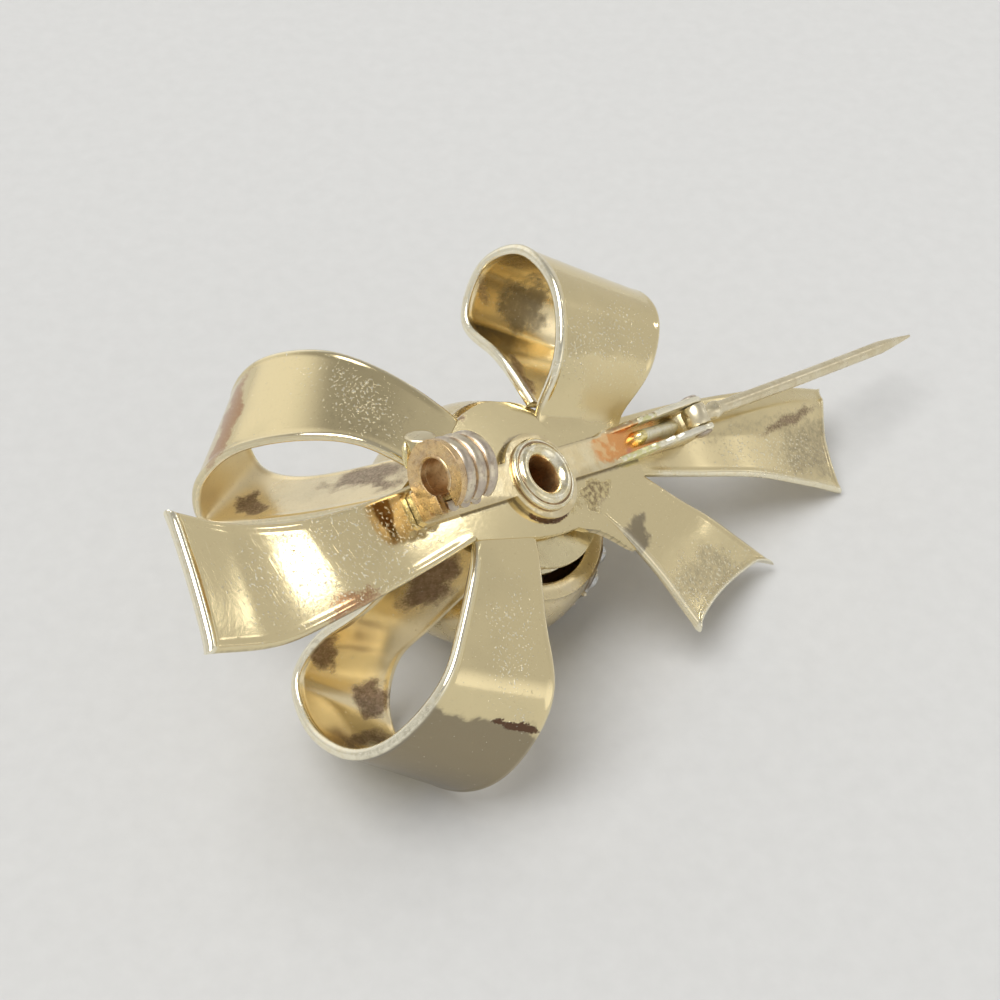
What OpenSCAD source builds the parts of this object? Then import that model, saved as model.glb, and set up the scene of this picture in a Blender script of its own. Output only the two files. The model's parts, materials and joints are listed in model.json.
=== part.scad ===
// Bow brooch of stamped gold-tone sheet, lying on its front with the pin open.
// The pieces are laid out in the brooch's own frame, with the rivet as its centre, X along the
// pin bar towards the hinge and Z out of the back. The last step lays the brooch on the floor.

/* [Hub] */
// Length of the flat hub where the loops and tails begin
hub_l = 20; // [18:0.5:22]
// Width of the flat hub
hub_w = 10; // [9:0.5:11]
// Thickness of the stamped sheet
sheet_t = 0.6; // [0.5:0.05:0.7]
// Thickness of the rolled lips along the ribbon edges
lip_t = 0.9; // [0.7:0.05:1]
// Width of the rolled lips
lip_w = 0.8; // [0.6:0.1:1]

/* [Upper left loop] */
// Heading of the loop on the back, from the bar's direction
upper_left_heading = 125; // [122:1:128]
// Furthest reach of the loop from the hub
upper_left_reach = 11.5; // [10:0.5:13]
// Depth of the loop in front of the hub
upper_left_depth = 17.3; // [16:0.1:17.6]
// Width of the ribbon at its widest
upper_left_w = 9.1; // [8:0.1:10]

/* [Lower left loop] */
// Heading of the loop on the back, from the bar's direction
lower_left_heading = 244; // [241:1:247]
// Furthest reach of the loop from the hub
lower_left_reach = 14.2; // [13:0.1:15.5]
// Depth of the loop in front of the hub
lower_left_depth = 16.6; // [15.5:0.1:18]
// Width of the ribbon at its widest
lower_left_w = 10.4; // [9.5:0.1:11]

/* [Upper right loop] */
// Heading of the loop on the back, from the bar's direction
upper_right_heading = 63; // [60:1:66]
// Furthest reach of the loop from the hub
upper_right_reach = 12.4; // [11:0.1:14]
// Height of the loop's crest behind the hub
upper_right_rise = 5; // [4:0.1:6]
// Width of the ribbon at its widest
upper_right_w = 12; // [11:0.1:13]

/* [Tails] */
// Heading of the left tail
left_tail_heading = 180; // [177:1:183]
// Length of the left tail
left_tail_l = 24; // [21:0.5:27]
// Width of the left tail near its end
left_tail_w = 9.4; // [8.5:0.1:10.5]
// Heading of the right tail
right_tail_heading = -7; // [-9:1:-5]
// Length of the right tail
right_tail_l = 25; // [23:0.5:27]
// Width of the right tail near its end
right_tail_w = 10.1; // [9:0.1:11]
// Height of the crease that runs along the right tail
crease_h = 0.5; // [0.2:0.1:0.7]
// Heading of the short lower tail
lower_tail_heading = -50; // [-53:1:-47]
// Length of the short lower tail
lower_tail_l = 15.25; // [13:0.25:17]
// Width of the short lower tail near its end
lower_tail_w = 12.4; // [11:0.1:13]
// Bow of the tails out of the hub's plane
tail_bow = 1.2; // [0.8:0.1:1.5]

/* [Pin bar] */
// Width of the bar
bar_w = 2.6; // [2.2:0.1:3]
// Thickness of the bar
bar_t = 0.6; // [0.5:0.05:0.7]
// Distance of the bar's middle line from the rivet
bar_side = 0.35; // [0:0.05:0.6]
// Radius of the eye around the rivet
eye_r = 3.4; // [3.2:0.1:3.8]
// Distance from the rivet to the hinge
hinge_x = 17.6; // [16:0.1:19]
// Height of the hinge pivot above the bar
hinge_h = 1.7; // [1.5:0.1:1.9]
// Width of the hinge over its ears
hinge_w = 2.9; // [2.6:0.1:3.1]
// Distance of the hinge's middle from the rivet's line
hinge_side = 0.55; // [0.3:0.05:0.7]
// Thickness of the hinge ears
ear_t = 0.5; // [0.4:0.05:0.6]
// Radius of the hinge pin
hinge_r = 0.4; // [0.3:0.05:0.5]

/* [Pin stem] */
// Length of the stem from the hinge to its point
stem_l = 28.7; // [27:0.1:30]
// Radius of the stem
stem_r = 0.57; // [0.5:0.01:0.6]
// Distance of the collar's outer face from the hinge
collar_x = 2.6; // [2.4:0.1:3]
// Radius of the collar where the stem begins
collar_r = 0.75; // [0.7:0.05:0.85]
// Length of the tapered point
point_l = 4.5; // [3:0.5:7]
// Angle at which the open stem stands up from the bar
stem_open = 7.8; // [6:0.2:10]
// Sideways set of the stem from the hinge's middle
stem_set = 0.7; // [0:0.1:1]

/* [Safety catch] */
// Distance from the rivet to the catch's near end
catch_x = 8.8; // [8:0.1:9.5]
// Length of the ridged sleeve
sleeve_l = 3.3; // [3:0.1:3.6]
// Outer radius of the sleeve over its ridges
sleeve_r = 2.6; // [2.4:0.05:2.7]
// Radius of the catch's bore
catch_bore_r = 1.3; // [1:0.05:1.35]
// Wall of the fixed tube inside the sleeve
catch_wall = 0.5; // [0.4:0.05:0.55]
// Height of the catch's axis above the bar
catch_h = 2.65; // [2.65:0.05:2.9]
// Sideways distance of the catch's axis from the rivet
catch_y = 1.5; // [1.2:0.1:1.8]
// Width of the mouth
mouth_w = 1.35; // [1.25:0.05:1.5]
// Length of the thumb tab out of the sleeve
tab_l = 0.8; // [0.6:0.1:1.2]
// Width of the thumb tab
tab_w = 2.3; // [1.8:0.1:2.6]

/* [Rivet] */
// Radius of the rivet's rolled flange
rivet_r = 2.85; // [2.6:0.05:3]
// Radius of the rivet's tube
tube_r = 1.7; // [1.6:0.05:1.9]
// Radius of the hole through the rivet
rivet_bore_r = 1.24; // [1:0.02:1.3]
// Height of the rivet's roll above the bar
roll_h = 0.75; // [0.5:0.05:0.9]

/* [Front knot] */
// Radius of the plate behind the knot
plate_r = 6.75; // [6.5:0.05:7]
// Set of the plate from the rivet, along the bar
plate_x = 0.5; // [0.2:0.1:0.7]
// Set of the plate from the rivet, across the bar
plate_y = 0.1; // [-0.2:0.1:0.4]
// Thickness of that plate
plate_t = 0.6; // [0.5:0.05:0.8]
// Gap between the hub and the plate
plate_gap = 0.7; // [0.5:0.05:0.9]
// Radius of the turned band below the plate
band_r = 6.3; // [6:0.1:6.5]
// How far the band's lower lip stands out
band_lip = 0.35; // [0.2:0.05:0.45]
// Height of the turned band
band_h = 1.6; // [1.4:0.1:1.8]
// Wall of the band
band_wall = 0.7; // [0.5:0.05:0.9]
// Radius of the domed knot around its middle
dome_r = 9.6; // [9.2:0.1:9.7]
// Height of the domed knot from its middle to its crown
dome_h = 9.1; // [8.7:0.1:9.4]
// Wall of the domed knot
dome_wall = 0.5; // [0.4:0.05:0.7]
// Depth of the dome's middle in front of the hub
dome_z = 8.2; // [7.9:0.1:8.5]
// Depth of the dome's rim in front of the hub
rim_z = 3.2; // [3.1:0.1:3.6]
// Sideways set of the dome from the rivet, along the bar
dome_x = 1.2; // [0.8:0.1:1.6]
// Sideways set of the dome from the rivet, across the bar
dome_y = -0.4; // [-0.8:0.1:0]
// Radius of the post that carries the dome
post_r = 1.3; // [1.1:0.1:1.6]

/* [Stones] */
// Width of one stone across its girdle
stone_w = 1.7; // [1.5:0.05:1.8]
// Height of a stone above the dome
stone_h = 0.6; // [0.5:0.05:0.8]
// Distance between neighbouring stones
stone_gap = 0.15; // [0.12:0.01:0.25]
// Heading of the stripe of stones across the dome
stripe_heading = -42; // [-50:1:-36]

/* [Hidden] */

// Facets of a full turn
$fn = 64;
// Small overlap for cuts that run out of a solid
cut = 0.5;
// Clearance of a part that sits still in a hole
seat = 0.02;
// Clearance of a part that turns
run = 0.06;

// Corners of the hub, as shares of its length and width, clockwise from the left tail's upper root
corner_left_up = [-0.49 * hub_l, 0.24 * hub_w];
corner_top_left = [-0.23 * hub_l, 0.6 * hub_w];
corner_top_right = [0.145 * hub_l, 0.47 * hub_w];
corner_right_up = [0.58 * hub_l, 0.28 * hub_w];
corner_right_low = [0.575 * hub_l, -0.23 * hub_w];
corner_low_right = [0.25 * hub_l, -0.42 * hub_w];
corner_low_left = [-0.12 * hub_l, -0.42 * hub_w];
corner_left_low = [-0.41 * hub_l, -0.3 * hub_w];
// How far the hub's free edges bulge between two roots
top_bulge = 1.2;
low_bulge = 0.3;
bulge_steps = 12;

// Each table has a row for each section of a ribbon after its root:
// [reach, depth, sideways drift, width, turn in degrees, lean in degrees],
// where reach and depth are shares of the loop's own, and drift and width are shares of its width
upper_left_rows = [
    [0.46, 0.085, 0.01, 0.79, 5, -1],
    [0.79, 0.27, 0.01, 0.93, 10, 0],
    [1, 0.55, -0.02, 0.99, 11, -0.5],
    [0.98, 0.81, -0.06, 1, 8, -0.5],
    [0.8, 0.96, -0.11, 0.96, -1, -1],
    [0.61, 1, -0.16, 0.87, -11, -1.5],
    [0.43, 0.83, -0.2, 0.78, -16, -1.5],
    [0.23, 0.5, -0.24, 0.72, -13, -1],
    [0.03, 0.08, -0.27, 0.66, -8, 0]
];
lower_left_rows = [
    [0.41, 0.05, 0.03, 0.74, 10, -1],
    [0.77, 0.114, 0.05, 0.93, 2.5, -3],
    [0.99, 0.386, 0.11, 1, -4.5, -2],
    [1, 0.663, 0.19, 1, -8, -1],
    [0.8, 0.919, 0.28, 0.93, -10.5, 0.5],
    [0.5, 1, 0.35, 0.85, -10, 0],
    [0.29, 0.839, 0.37, 0.71, -4.5, -1.5],
    [0.22, 0.514, 0.35, 0.6, -5.5, -2],
    [0.04, 0.083, 0.28, 0.58, -15, -3]
];
upper_right_rows = [
    [0.25, -0.78, 0, 0.825, 10, 0],
    [0.63, -1, -0.015, 0.91, 4, 0.5],
    [0.95, -0.52, -0.05, 0.975, -1, 1],
    [1, 0.32, -0.08, 1, -2.5, 2],
    [0.74, 0.87, -0.08, 0.97, 0, 2.5],
    [0.45, 0.45, -0.055, 0.865, 3, 1],
    [0.28, 0.28, -0.045, 0.77, 3.5, 0.5],
    [0.07, 0.18, -0.02, 0.6, 5, 0.5]
];
left_tail_rows = [
    [0.244, 0.09, -0.074, 0.65, 14.9, 0],
    [0.515, 0.52, -0.11, 0.75, 8.7, 0],
    [0.763, 0.23, -0.086, 0.904, -0.3, 0],
    [1, -0.78, 0.046, 1, -9.5, 0]
];
right_tail_rows = [
    [0.26, 0.06, -0.009, 0.634, 1.6, 0],
    [0.516, -0.8, 0.042, 0.748, -2.9, 0],
    [0.761, -0.93, 0.109, 0.9, -7.8, 0],
    [1, -0.53, 0.19, 1, -13.1, 0]
];
lower_tail_rows = [
    [0.215, -0.05, 0.006, 0.62, -26, 0],
    [0.443, 0.17, 0.003, 0.73, -21, 0],
    [0.709, 0.65, 0.017, 0.863, -16, 0],
    [1, 1.1, 0.035, 1, -12, 0]
];
// Where each end is cut, as shares of the ribbon: [first edge, second edge, notch between them]
loop_end = [1, 1, 0];
left_tail_end = [1, 1, 0.015];
right_tail_end = [1, 0.965, 0.04];
lower_tail_end = [1.02, 0.83, 0.1];
loop_rings = 44;
tail_rings = 18;
// Distance of the right tail's crease from its upper edge, at the root and at the end
crease_from = 3.2;
crease_to = 1.3;
// Shares of the tail where the crease begins and where it is at its full height
crease_start = 0.3;
crease_full = 0.5;
columns = 9;
ring = 2 * columns;

// A ribbon: [middle of its root, heading, sections in millimetres and degrees]
function ribbon(from, to, heading, reach, depth, w, rows) =
    let (
        root = to - from,
        turn = atan2(root.y, root.x) - heading + 90,
        wrapped = turn > 180 ? turn - 360 : turn < -180 ? turn + 360 : turn
    )
    [
        (from + to) / 2,
        heading,
        concat(
            [[0, 0, 0, norm(root), wrapped, 0]],
            [for (q = rows) [q[0] * reach, q[1] * depth, q[2] * w, q[3] * w, q[4], q[5]]]
        )
    ];

upper_left = ribbon(corner_left_up, corner_top_left, upper_left_heading,
                    upper_left_reach, upper_left_depth, upper_left_w, upper_left_rows);
lower_left = ribbon(corner_low_left, corner_left_low, lower_left_heading,
                    lower_left_reach, lower_left_depth, lower_left_w, lower_left_rows);
upper_right = ribbon(corner_top_right, corner_right_up, upper_right_heading,
                     upper_right_reach, upper_right_rise, upper_right_w, upper_right_rows);
left_tail = ribbon(corner_left_low, corner_left_up, left_tail_heading,
                   left_tail_l, tail_bow, left_tail_w, left_tail_rows);
right_tail = ribbon(corner_right_up, corner_right_low, right_tail_heading,
                    right_tail_l, tail_bow, right_tail_w, right_tail_rows);
lower_tail = ribbon(corner_right_low, corner_low_right, lower_tail_heading,
                    lower_tail_l, tail_bow, lower_tail_w, lower_tail_rows);

// A smooth curve through a ribbon's sections, which runs straight on past both ends
function row(rows, i) =
    let (last = len(rows) - 1)
    i < 0 ? 2 * rows[0] - rows[1] : i > last ? 2 * rows[last] - rows[last - 1] : rows[i];
function between(a, b, c, d, f) =
    (2 * b + (c - a) * f + (2 * a - 5 * b + 4 * c - d) * f * f
        + (3 * b - a - 3 * c + d) * f * f * f) / 2;
function section(rows, s) =
    let (i = min(floor(s), len(rows) - 2))
    between(row(rows, i - 1), row(rows, i), row(rows, i + 1), row(rows, i + 2), s - i);

// Distance of each column from the ribbon's first edge
function column(j, w, crease) = [
    0, 0.4 * lip_w, lip_w, crease, w / 2, 0.72 * w, w - lip_w, w - 0.4 * lip_w, w
][j];
// Thickness of the sheet at each column
function gauge(j) = let (k = min(j, columns - 1 - j)) k == 0 ? 0.6 * lip_t : k == 1 ? lip_t : sheet_t;

// The point at share t of the ribbon's length on column j, on the sheet's middle surface
function spot(band, t, j, creased) =
    let (
        q = section(band[2], t * (len(band[2]) - 1)),
        a = band[1],
        b = a - 90 + q[4],
        w = q[3],
        crease = creased ? crease_from + (crease_to - crease_from) * t : 0.28 * w,
        rise = min(1, max(0, (t - crease_start) / (crease_full - crease_start))),
        ridge = creased && j == 3 ? crease_h * rise : 0,
        across = column(j, w, crease) - w / 2
    )
    [
        band[0].x + q[0] * cos(a) + q[2] * sin(a) + across * cos(b) * cos(q[5]),
        band[0].y + q[0] * sin(a) - q[2] * cos(a) + across * sin(b) * cos(q[5]),
        -q[1] + across * sin(q[5]) + ridge
    ];
function end_share(j, shape) =
    let (c = j / (columns - 1))
    shape[0] + (shape[1] - shape[0]) * c - shape[2] * 4 * c * (1 - c);
function grid(band, rings, shape, creased) = [
    for (i = [0:rings]) [for (j = [0:columns - 1]) spot(band, i / rings * end_share(j, shape), j, creased)]
];
function unit(v) = v / norm(v);
// The sheet's normal at a point of the grid, straight up at the root so that it meets the hub
function outward(g, i, j) =
    i == 0 ? [0, 0, 1] :
    unit(cross(
        g[i][min(j + 1, columns - 1)] - g[i][max(j - 1, 0)],
        g[min(i + 1, len(g) - 1)][j] - g[i - 1][j]
    ));
function skin(g) = [
    for (i = [0:len(g) - 1])
        for (k = [0:ring - 1])
            let (j = k < columns ? k : ring - 1 - k, side = k < columns ? 0.5 : -0.5)
            g[i][j] + side * gauge(j) * outward(g, i, j)
];
function cap(at, flip) = [
    for (j = [0:columns - 2])
        let (a = at + j, b = at + j + 1, c = at + ring - 2 - j, d = at + ring - 1 - j)
        each flip ? [[a, c, b], [a, d, c]] : [[a, b, c], [a, c, d]]
];
function wrap(rings) = [
    for (i = [0:rings - 1])
        for (k = [0:ring - 1])
            let (a = i * ring + k, b = i * ring + (k + 1) % ring, c = b + ring, d = a + ring)
            each [[a, c, b], [a, d, c]]
];

upper_left_skin = skin(grid(upper_left, loop_rings, loop_end, false));
lower_left_skin = skin(grid(lower_left, loop_rings, loop_end, false));
upper_right_skin = skin(grid(upper_right, loop_rings, loop_end, false));
left_tail_skin = skin(grid(left_tail, tail_rings, left_tail_end, false));
right_tail_skin = skin(grid(right_tail, tail_rings, right_tail_end, true));
lower_tail_skin = skin(grid(lower_tail, tail_rings, lower_tail_end, false));

// Heights of the flat pieces, from the hub's middle
sheet_top = sheet_t / 2;
bar_top = sheet_top + bar_t;
plate_top = -sheet_top - plate_gap;
band_low = plate_top - plate_t - band_h;
hinge_z = bar_top + hinge_h;
catch_z = bar_top + catch_h;
dome_middle = [dome_x, dome_y, -dome_z];
dome_steps = 20;
lip_h = 0.35;

// The hinge: the ears, the eye between them and the pin through all
ear_from = 0.48 * hinge_x;
ear_round = 1.1;
ear_gap = hinge_w - 2 * ear_t;
heel_w = ear_gap - 2 * run;
heel_r = 1.05;
head_r = 0.75;
head_t = 0.25;
tongue_l = 5.6;
tongue_w = 1.3;
collar_l = 0.8;
tongue_h = 1.1;

// The catch: a fixed tube with a flange, and the ridged sleeve that turns on it
tube_out = catch_bore_r + catch_wall;
sleeve_in = tube_out + run;
flange_t = 0.55;
flange_x = -catch_x - sleeve_l - run;
foot_w = 2.2;
ridges = 3;
ridge_depth = 0.3;
tab_in = 0.1;
tab_foot = 1;

// The stem closes until it rests over the sleeve
stem_shut = atan((catch_z + sleeve_r + 0.15 + stem_r - hinge_z) / (hinge_x + catch_x));
stem_travel = 180 - stem_open - stem_shut;

// Stones: three rows that cross the dome, each set on its surface
stone_pitch = (stone_w + stone_gap) / dome_r * 180 / PI;
stripe_rows = [-1, 0, 1];
stripe_first = -123;
stripe_last = 66;
facets = 8;
base_share = 0.65;
girdle_share = 0.45;
table_share = 0.55;
stripe_count = floor((stripe_last - stripe_first) / stone_pitch);
// Direction of a stone from the dome's middle, as if the dome were a ball
function stone_way(row, i) =
    let (
        slant = row * stone_pitch * 1.02,
        around = stripe_first + 8 + (i + (row == 0 ? 0 : 0.5)) * stone_pitch,
        along = -cos(slant) * sin(around),
        side = sin(slant)
    )
    [
        along * cos(stripe_heading) - side * sin(stripe_heading),
        along * sin(stripe_heading) + side * cos(stripe_heading),
        -cos(slant) * cos(around)
    ];
stone_ways = [for (r = stripe_rows) for (i = [0:stripe_count - 2]) stone_way(r, i)];
function facet_ring(way, radius, height, half) =
    let (
        axis = unit([way.x / dome_r, way.y / dome_r, way.z / dome_h]),
        seat_at = dome_middle + [dome_r * way.x, dome_r * way.y, dome_h * way.z],
        u = unit(cross(axis, [0.3, 0.2, 1])),
        v = cross(axis, u)
    )
    [
        for (k = [0:facets - 1])
            let (a = 360 * (k + half) / facets)
            seat_at + height * axis + radius * (cos(a) * u + sin(a) * v)
    ];
function stone_points(way) = concat(
    facet_ring(way, base_share * stone_w / 2, seat, 0),
    facet_ring(way, stone_w / 2, girdle_share * stone_h, 0),
    facet_ring(way, table_share * stone_w / 2, stone_h, 0.5)
);
stone_faces = concat(
    [[for (k = [0:facets - 1]) k]],
    [for (k = [0:facets - 1]) let (n = (k + 1) % facets) each
        [[k, k + facets, n], [n, k + facets, n + facets]]],
    [for (k = [0:facets - 1]) let (n = (k + 1) % facets) each
        [[k + facets, k + 2 * facets, n + facets], [n + facets, k + 2 * facets, n + 2 * facets]]],
    [[for (k = [facets - 1:-1:0]) k + 2 * facets]]
);
stone_skin = [for (way = stone_ways) each stone_points(way)];

// How the brooch lies: on the lower left loop, the right tail's corner and the knot
function lowest(points, up) =
    let (heights = [for (p = points) p * up], low = min(heights))
    [for (i = [0:len(points) - 1]) if (heights[i] == low) points[i]][0];
function lowest_of_dome(up) =
    let (
        reach = [dome_r * dome_r * up.x, dome_r * dome_r * up.y, dome_h * dome_h * up.z],
        foot = dome_middle - reach / sqrt(reach * up),
        stone = lowest(stone_skin, up)
    )
    foot * up < stone * up ? foot : stone;
function settle(up, times) =
    times == 0 ? up :
    let (
        a = lowest(lower_left_skin, up),
        b = lowest(right_tail_skin, up),
        c = lowest_of_dome(up),
        n = unit(cross(b - a, c - a))
    )
    settle(n.z < 0 ? -n : n, times - 1);
up = settle(unit([-0.35, 0.54, 0.76]), 4);
// Heading of the bar on the floor
lie_heading = 44;
flat_x = unit([1, 0, 0] - up.x * up);
flat_y = cross(up, flat_x);
side_x = cos(lie_heading) * flat_x - sin(lie_heading) * flat_y;
side_y = sin(lie_heading) * flat_x + cos(lie_heading) * flat_y;
stem_way = [cos(stem_open), 0, sin(stem_open)];
stem_tip = [hinge_x, hinge_side, hinge_z] + stem_l * stem_way + [0, stem_set, 0];
outline = concat(upper_left_skin, lower_left_skin, upper_right_skin, left_tail_skin,
                 right_tail_skin, lower_tail_skin, [stem_tip]);
xs = [for (p = outline) p * side_x];
ys = [for (p = outline) p * side_y];
floor_z = lowest(lower_left_skin, up) * up;
centre = [(min(xs) + max(xs)) / 2, (min(ys) + max(ys)) / 2];
lying = [
    [side_x.x, side_x.y, side_x.z, -centre.x],
    [side_y.x, side_y.y, side_y.z, -centre.y],
    [up.x, up.y, up.z, -floor_z],
    [0, 0, 0, 1]
];

module lay() {
    multmatrix(lying) children();
}

function bulged(from, to, bulge) =
    let (way = unit(to - from), out = [-way.y, way.x])
    [for (k = [1:bulge_steps - 1]) let (t = k / bulge_steps) from + t * (to - from) + 4 * t * (1 - t) * bulge * out];

module hub_outline() {
    polygon(concat(
        [corner_left_up, corner_top_left],
        bulged(corner_top_left, corner_top_right, top_bulge),
        [corner_top_right, corner_right_up, corner_right_low, corner_low_right],
        bulged(corner_low_right, corner_low_left, low_bulge),
        [corner_low_left, corner_left_low]
    ));
}

module hub_plate() {
    color("khaki") lay() difference() {
        translate([0, 0, -sheet_top]) linear_extrude(sheet_t) hub_outline();
        translate([0, 0, -sheet_top - cut]) cylinder(r = tube_r + seat, h = sheet_t + 2 * cut);
    }
}

module sheet_ribbon(points) {
    rings = len(points) / ring - 1;
    color("khaki") lay() polyhedron(points, concat(cap(0, false), wrap(rings), cap(rings * ring, true)));
}

module loop_upper_left() {
    sheet_ribbon(upper_left_skin);
}

module loop_lower_left() {
    sheet_ribbon(lower_left_skin);
}

module loop_upper_right() {
    sheet_ribbon(upper_right_skin);
}

module tail_left() {
    sheet_ribbon(left_tail_skin);
}

module tail_right() {
    sheet_ribbon(right_tail_skin);
}

module tail_lower() {
    sheet_ribbon(lower_tail_skin);
}

// A round bar along Y, from its middle
module cross_rod(r, l) {
    rotate([90, 0, 0]) cylinder(r = r, h = l, center = true);
}

// One hinge ear, which rises from the bar to the pivot
module ear() {
    rotate([90, 0, 0]) linear_extrude(ear_t) {
        polygon([
            [ear_from, sheet_top],
            [hinge_x + 0.4 * ear_round, sheet_top],
            [hinge_x + ear_round, hinge_z],
            [hinge_x + 0.5 * ear_round, hinge_z + 0.85 * ear_round],
            [hinge_x - 2.2 * ear_round, hinge_z + 0.55 * ear_round],
            [ear_from + 0.45 * (hinge_x - ear_from), bar_top + 0.75 * hinge_h],
            [ear_from, bar_top]
        ]);
    }
}

module pin_bar() {
    near = -catch_x - sleeve_l - 2 * run - flange_t - 0.1;
    color("goldenrod") lay() difference() {
        union() {
            translate([near, bar_side - bar_w / 2, sheet_top]) cube([hinge_x - near, bar_w, bar_t]);
            translate([0, 0, sheet_top]) cylinder(r = eye_r, h = bar_t);
            translate([ear_from, hinge_side - hinge_w / 2, sheet_top])
                cube([hinge_x - ear_from, hinge_w, bar_t]);
            translate([0, hinge_side - hinge_w / 2 + ear_t, 0]) ear();
            translate([0, hinge_side + hinge_w / 2, 0]) ear();
            translate([hinge_x - heel_r - run - tongue_l, hinge_side - tongue_w / 2, sheet_top])
                cube([tongue_l - 0.15, tongue_w, bar_t + tongue_h]);
        }
        translate([0, 0, sheet_top - cut]) cylinder(r = tube_r + seat, h = bar_t + 2 * cut);
        translate([hinge_x, hinge_side, hinge_z]) cross_rod(hinge_r + seat, hinge_w + 2 * cut);
    }
}

module hinge_pin() {
    color("silver") lay() translate([hinge_x, hinge_side, hinge_z]) {
        cross_rod(hinge_r, hinge_w + 2 * head_t);
        for (side = [-1, 1]) {
            translate([0, side * (hinge_w / 2 + seat + head_t / 2), 0]) cross_rod(head_r, head_t);
        }
    }
}

module pin_stem() {
    skew = asin(stem_set / stem_l);
    color("silver") lay() translate([hinge_x, hinge_side, hinge_z]) rotate([0, -stem_open, 0]) difference() {
        union() {
            cross_rod(heel_r, heel_w);
            rotate([0, 0, skew]) rotate([0, 90, 0]) {
                cylinder(r = collar_r - 0.2, h = collar_x);
                translate([0, 0, collar_x - collar_l]) cylinder(r = collar_r, h = collar_l);
                translate([0, 0, collar_x]) cylinder(r = stem_r, h = stem_l - point_l - collar_x);
                translate([0, 0, stem_l - point_l]) cylinder(r1 = stem_r, r2 = 0.2 * stem_r, h = point_l);
            }
        }
        cross_rod(hinge_r + run, heel_w + 2 * cut);
    }
}

// A cut from the catch's axis to its mouth, which opens towards the lower side
module mouth(l) {
    translate([-cut, -2 * sleeve_r, -mouth_w / 2]) cube([l + 2 * cut, 2 * sleeve_r, mouth_w]);
}

module catch_tube() {
    tube_l = sleeve_l + 2 * run;
    color("goldenrod") lay() translate([flange_x - flange_t, catch_y, catch_z]) difference() {
        union() {
            rotate([0, 90, 0]) cylinder(r = tube_out, h = flange_t + tube_l);
            rotate([0, 90, 0]) cylinder(r = sleeve_r, h = flange_t);
            translate([0, bar_side - catch_y - foot_w / 2, -catch_h]) cube([flange_t, foot_w, catch_h]);
        }
        translate([-cut, 0, 0]) rotate([0, 90, 0])
            cylinder(r = catch_bore_r, h = flange_t + tube_l + 2 * cut);
        mouth(flange_t + tube_l);
    }
}

function ridge_profile() = concat(
    [[sleeve_in, 0]],
    [for (k = [0:ridges - 1]) for (q = [[1, 0.08], [0.25, 0.25], [0, 0.5], [0.25, 0.75], [1, 0.92]])
        [sleeve_r - q[0] * ridge_depth, (k + q[1]) * sleeve_l / ridges]],
    [[sleeve_in, sleeve_l]]
);

module catch_sleeve() {
    color("lightgray") lay() translate([-catch_x - sleeve_l, catch_y, catch_z]) {
        difference() {
            rotate([0, 90, 0]) rotate_extrude() polygon(ridge_profile());
            mouth(sleeve_l);
        }
        translate([tab_in, sleeve_in + 0.25, -tab_w / 4]) cube([tab_foot, sleeve_r - sleeve_in, tab_w / 2]);
        hull() {
            translate([tab_in, sleeve_r + 0.15, -tab_w / 4]) cube([tab_foot, 0.2, tab_w / 2]);
            translate([tab_in - tab_l / 2, sleeve_r + 0.1 + tab_l / 2, -tab_w / 2]) cube([0.8, 0.5, tab_w]);
            translate([tab_in - tab_l, sleeve_r + 0.1 + tab_l, -tab_w / 4]) cube([0.8, 0.3, tab_w / 2]);
        }
    }
}

module rivet() {
    roll_w = rivet_r - rivet_bore_r;
    color("goldenrod") lay() rotate_extrude() polygon([
        [rivet_bore_r, band_low + 0.2],
        [tube_r, band_low + 0.2],
        [tube_r, plate_top],
        [tube_r + 0.9, plate_top],
        [tube_r + 0.9, -sheet_top],
        [tube_r, -sheet_top],
        [tube_r, bar_top],
        [rivet_r, bar_top],
        [rivet_r, bar_top + 0.25 * roll_h],
        [rivet_r - 0.08 * roll_w, bar_top + 0.42 * roll_h],
        [rivet_r - 0.24 * roll_w, bar_top + 0.5 * roll_h],
        [rivet_r - 0.28 * roll_w, bar_top + 0.8 * roll_h],
        [rivet_r - 0.4 * roll_w, bar_top + 0.97 * roll_h],
        [rivet_r - 0.52 * roll_w, bar_top + roll_h],
        [rivet_r - 0.68 * roll_w, bar_top + 0.9 * roll_h],
        [rivet_r - 0.85 * roll_w, bar_top + 0.55 * roll_h],
        [rivet_bore_r, bar_top]
    ]);
}

module front_plate() {
    color("rosybrown") lay() difference() {
        union() {
            translate([plate_x, plate_y, plate_top - plate_t]) cylinder(r = plate_r, h = plate_t);
            translate([plate_x, plate_y, band_low]) difference() {
                union() {
                    cylinder(r = band_r, h = band_h + plate_t / 2);
                    cylinder(r = band_r + band_lip, h = lip_h);
                }
                translate([0, 0, -cut]) cylinder(r = band_r - band_wall, h = band_h + cut);
            }
            translate([0, 0, band_low]) cylinder(r = tube_r + band_wall, h = band_h + plate_t / 2);
        }
        translate([0, 0, band_low - cut]) cylinder(r = tube_r + seat, h = band_h + plate_t + 2 * cut);
    }
}

// Half of the dome's section, from the rim's height down to the crown
module dome_section(r, h, from_z) {
    rim = asin(from_z / h);
    polygon(concat(
        [[0, from_z]],
        [for (k = [0:dome_steps]) let (a = rim - (rim + 90) * k / dome_steps) [r * cos(a), h * sin(a)]]
    ));
}

module knot_dome() {
    rim_up = dome_z - rim_z;
    color("gold") lay() union() {
        translate(dome_middle) rotate_extrude() difference() {
            dome_section(dome_r, dome_h, rim_up);
            translate([-cut, 0]) square([cut, dome_h]);
            dome_section(dome_r - dome_wall, dome_h - dome_wall, rim_up + cut);
        }
        translate([0, 0, -dome_z - dome_h + dome_wall])
            cylinder(r = post_r, h = dome_z + dome_h - dome_wall + band_low);
    }
}

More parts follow.
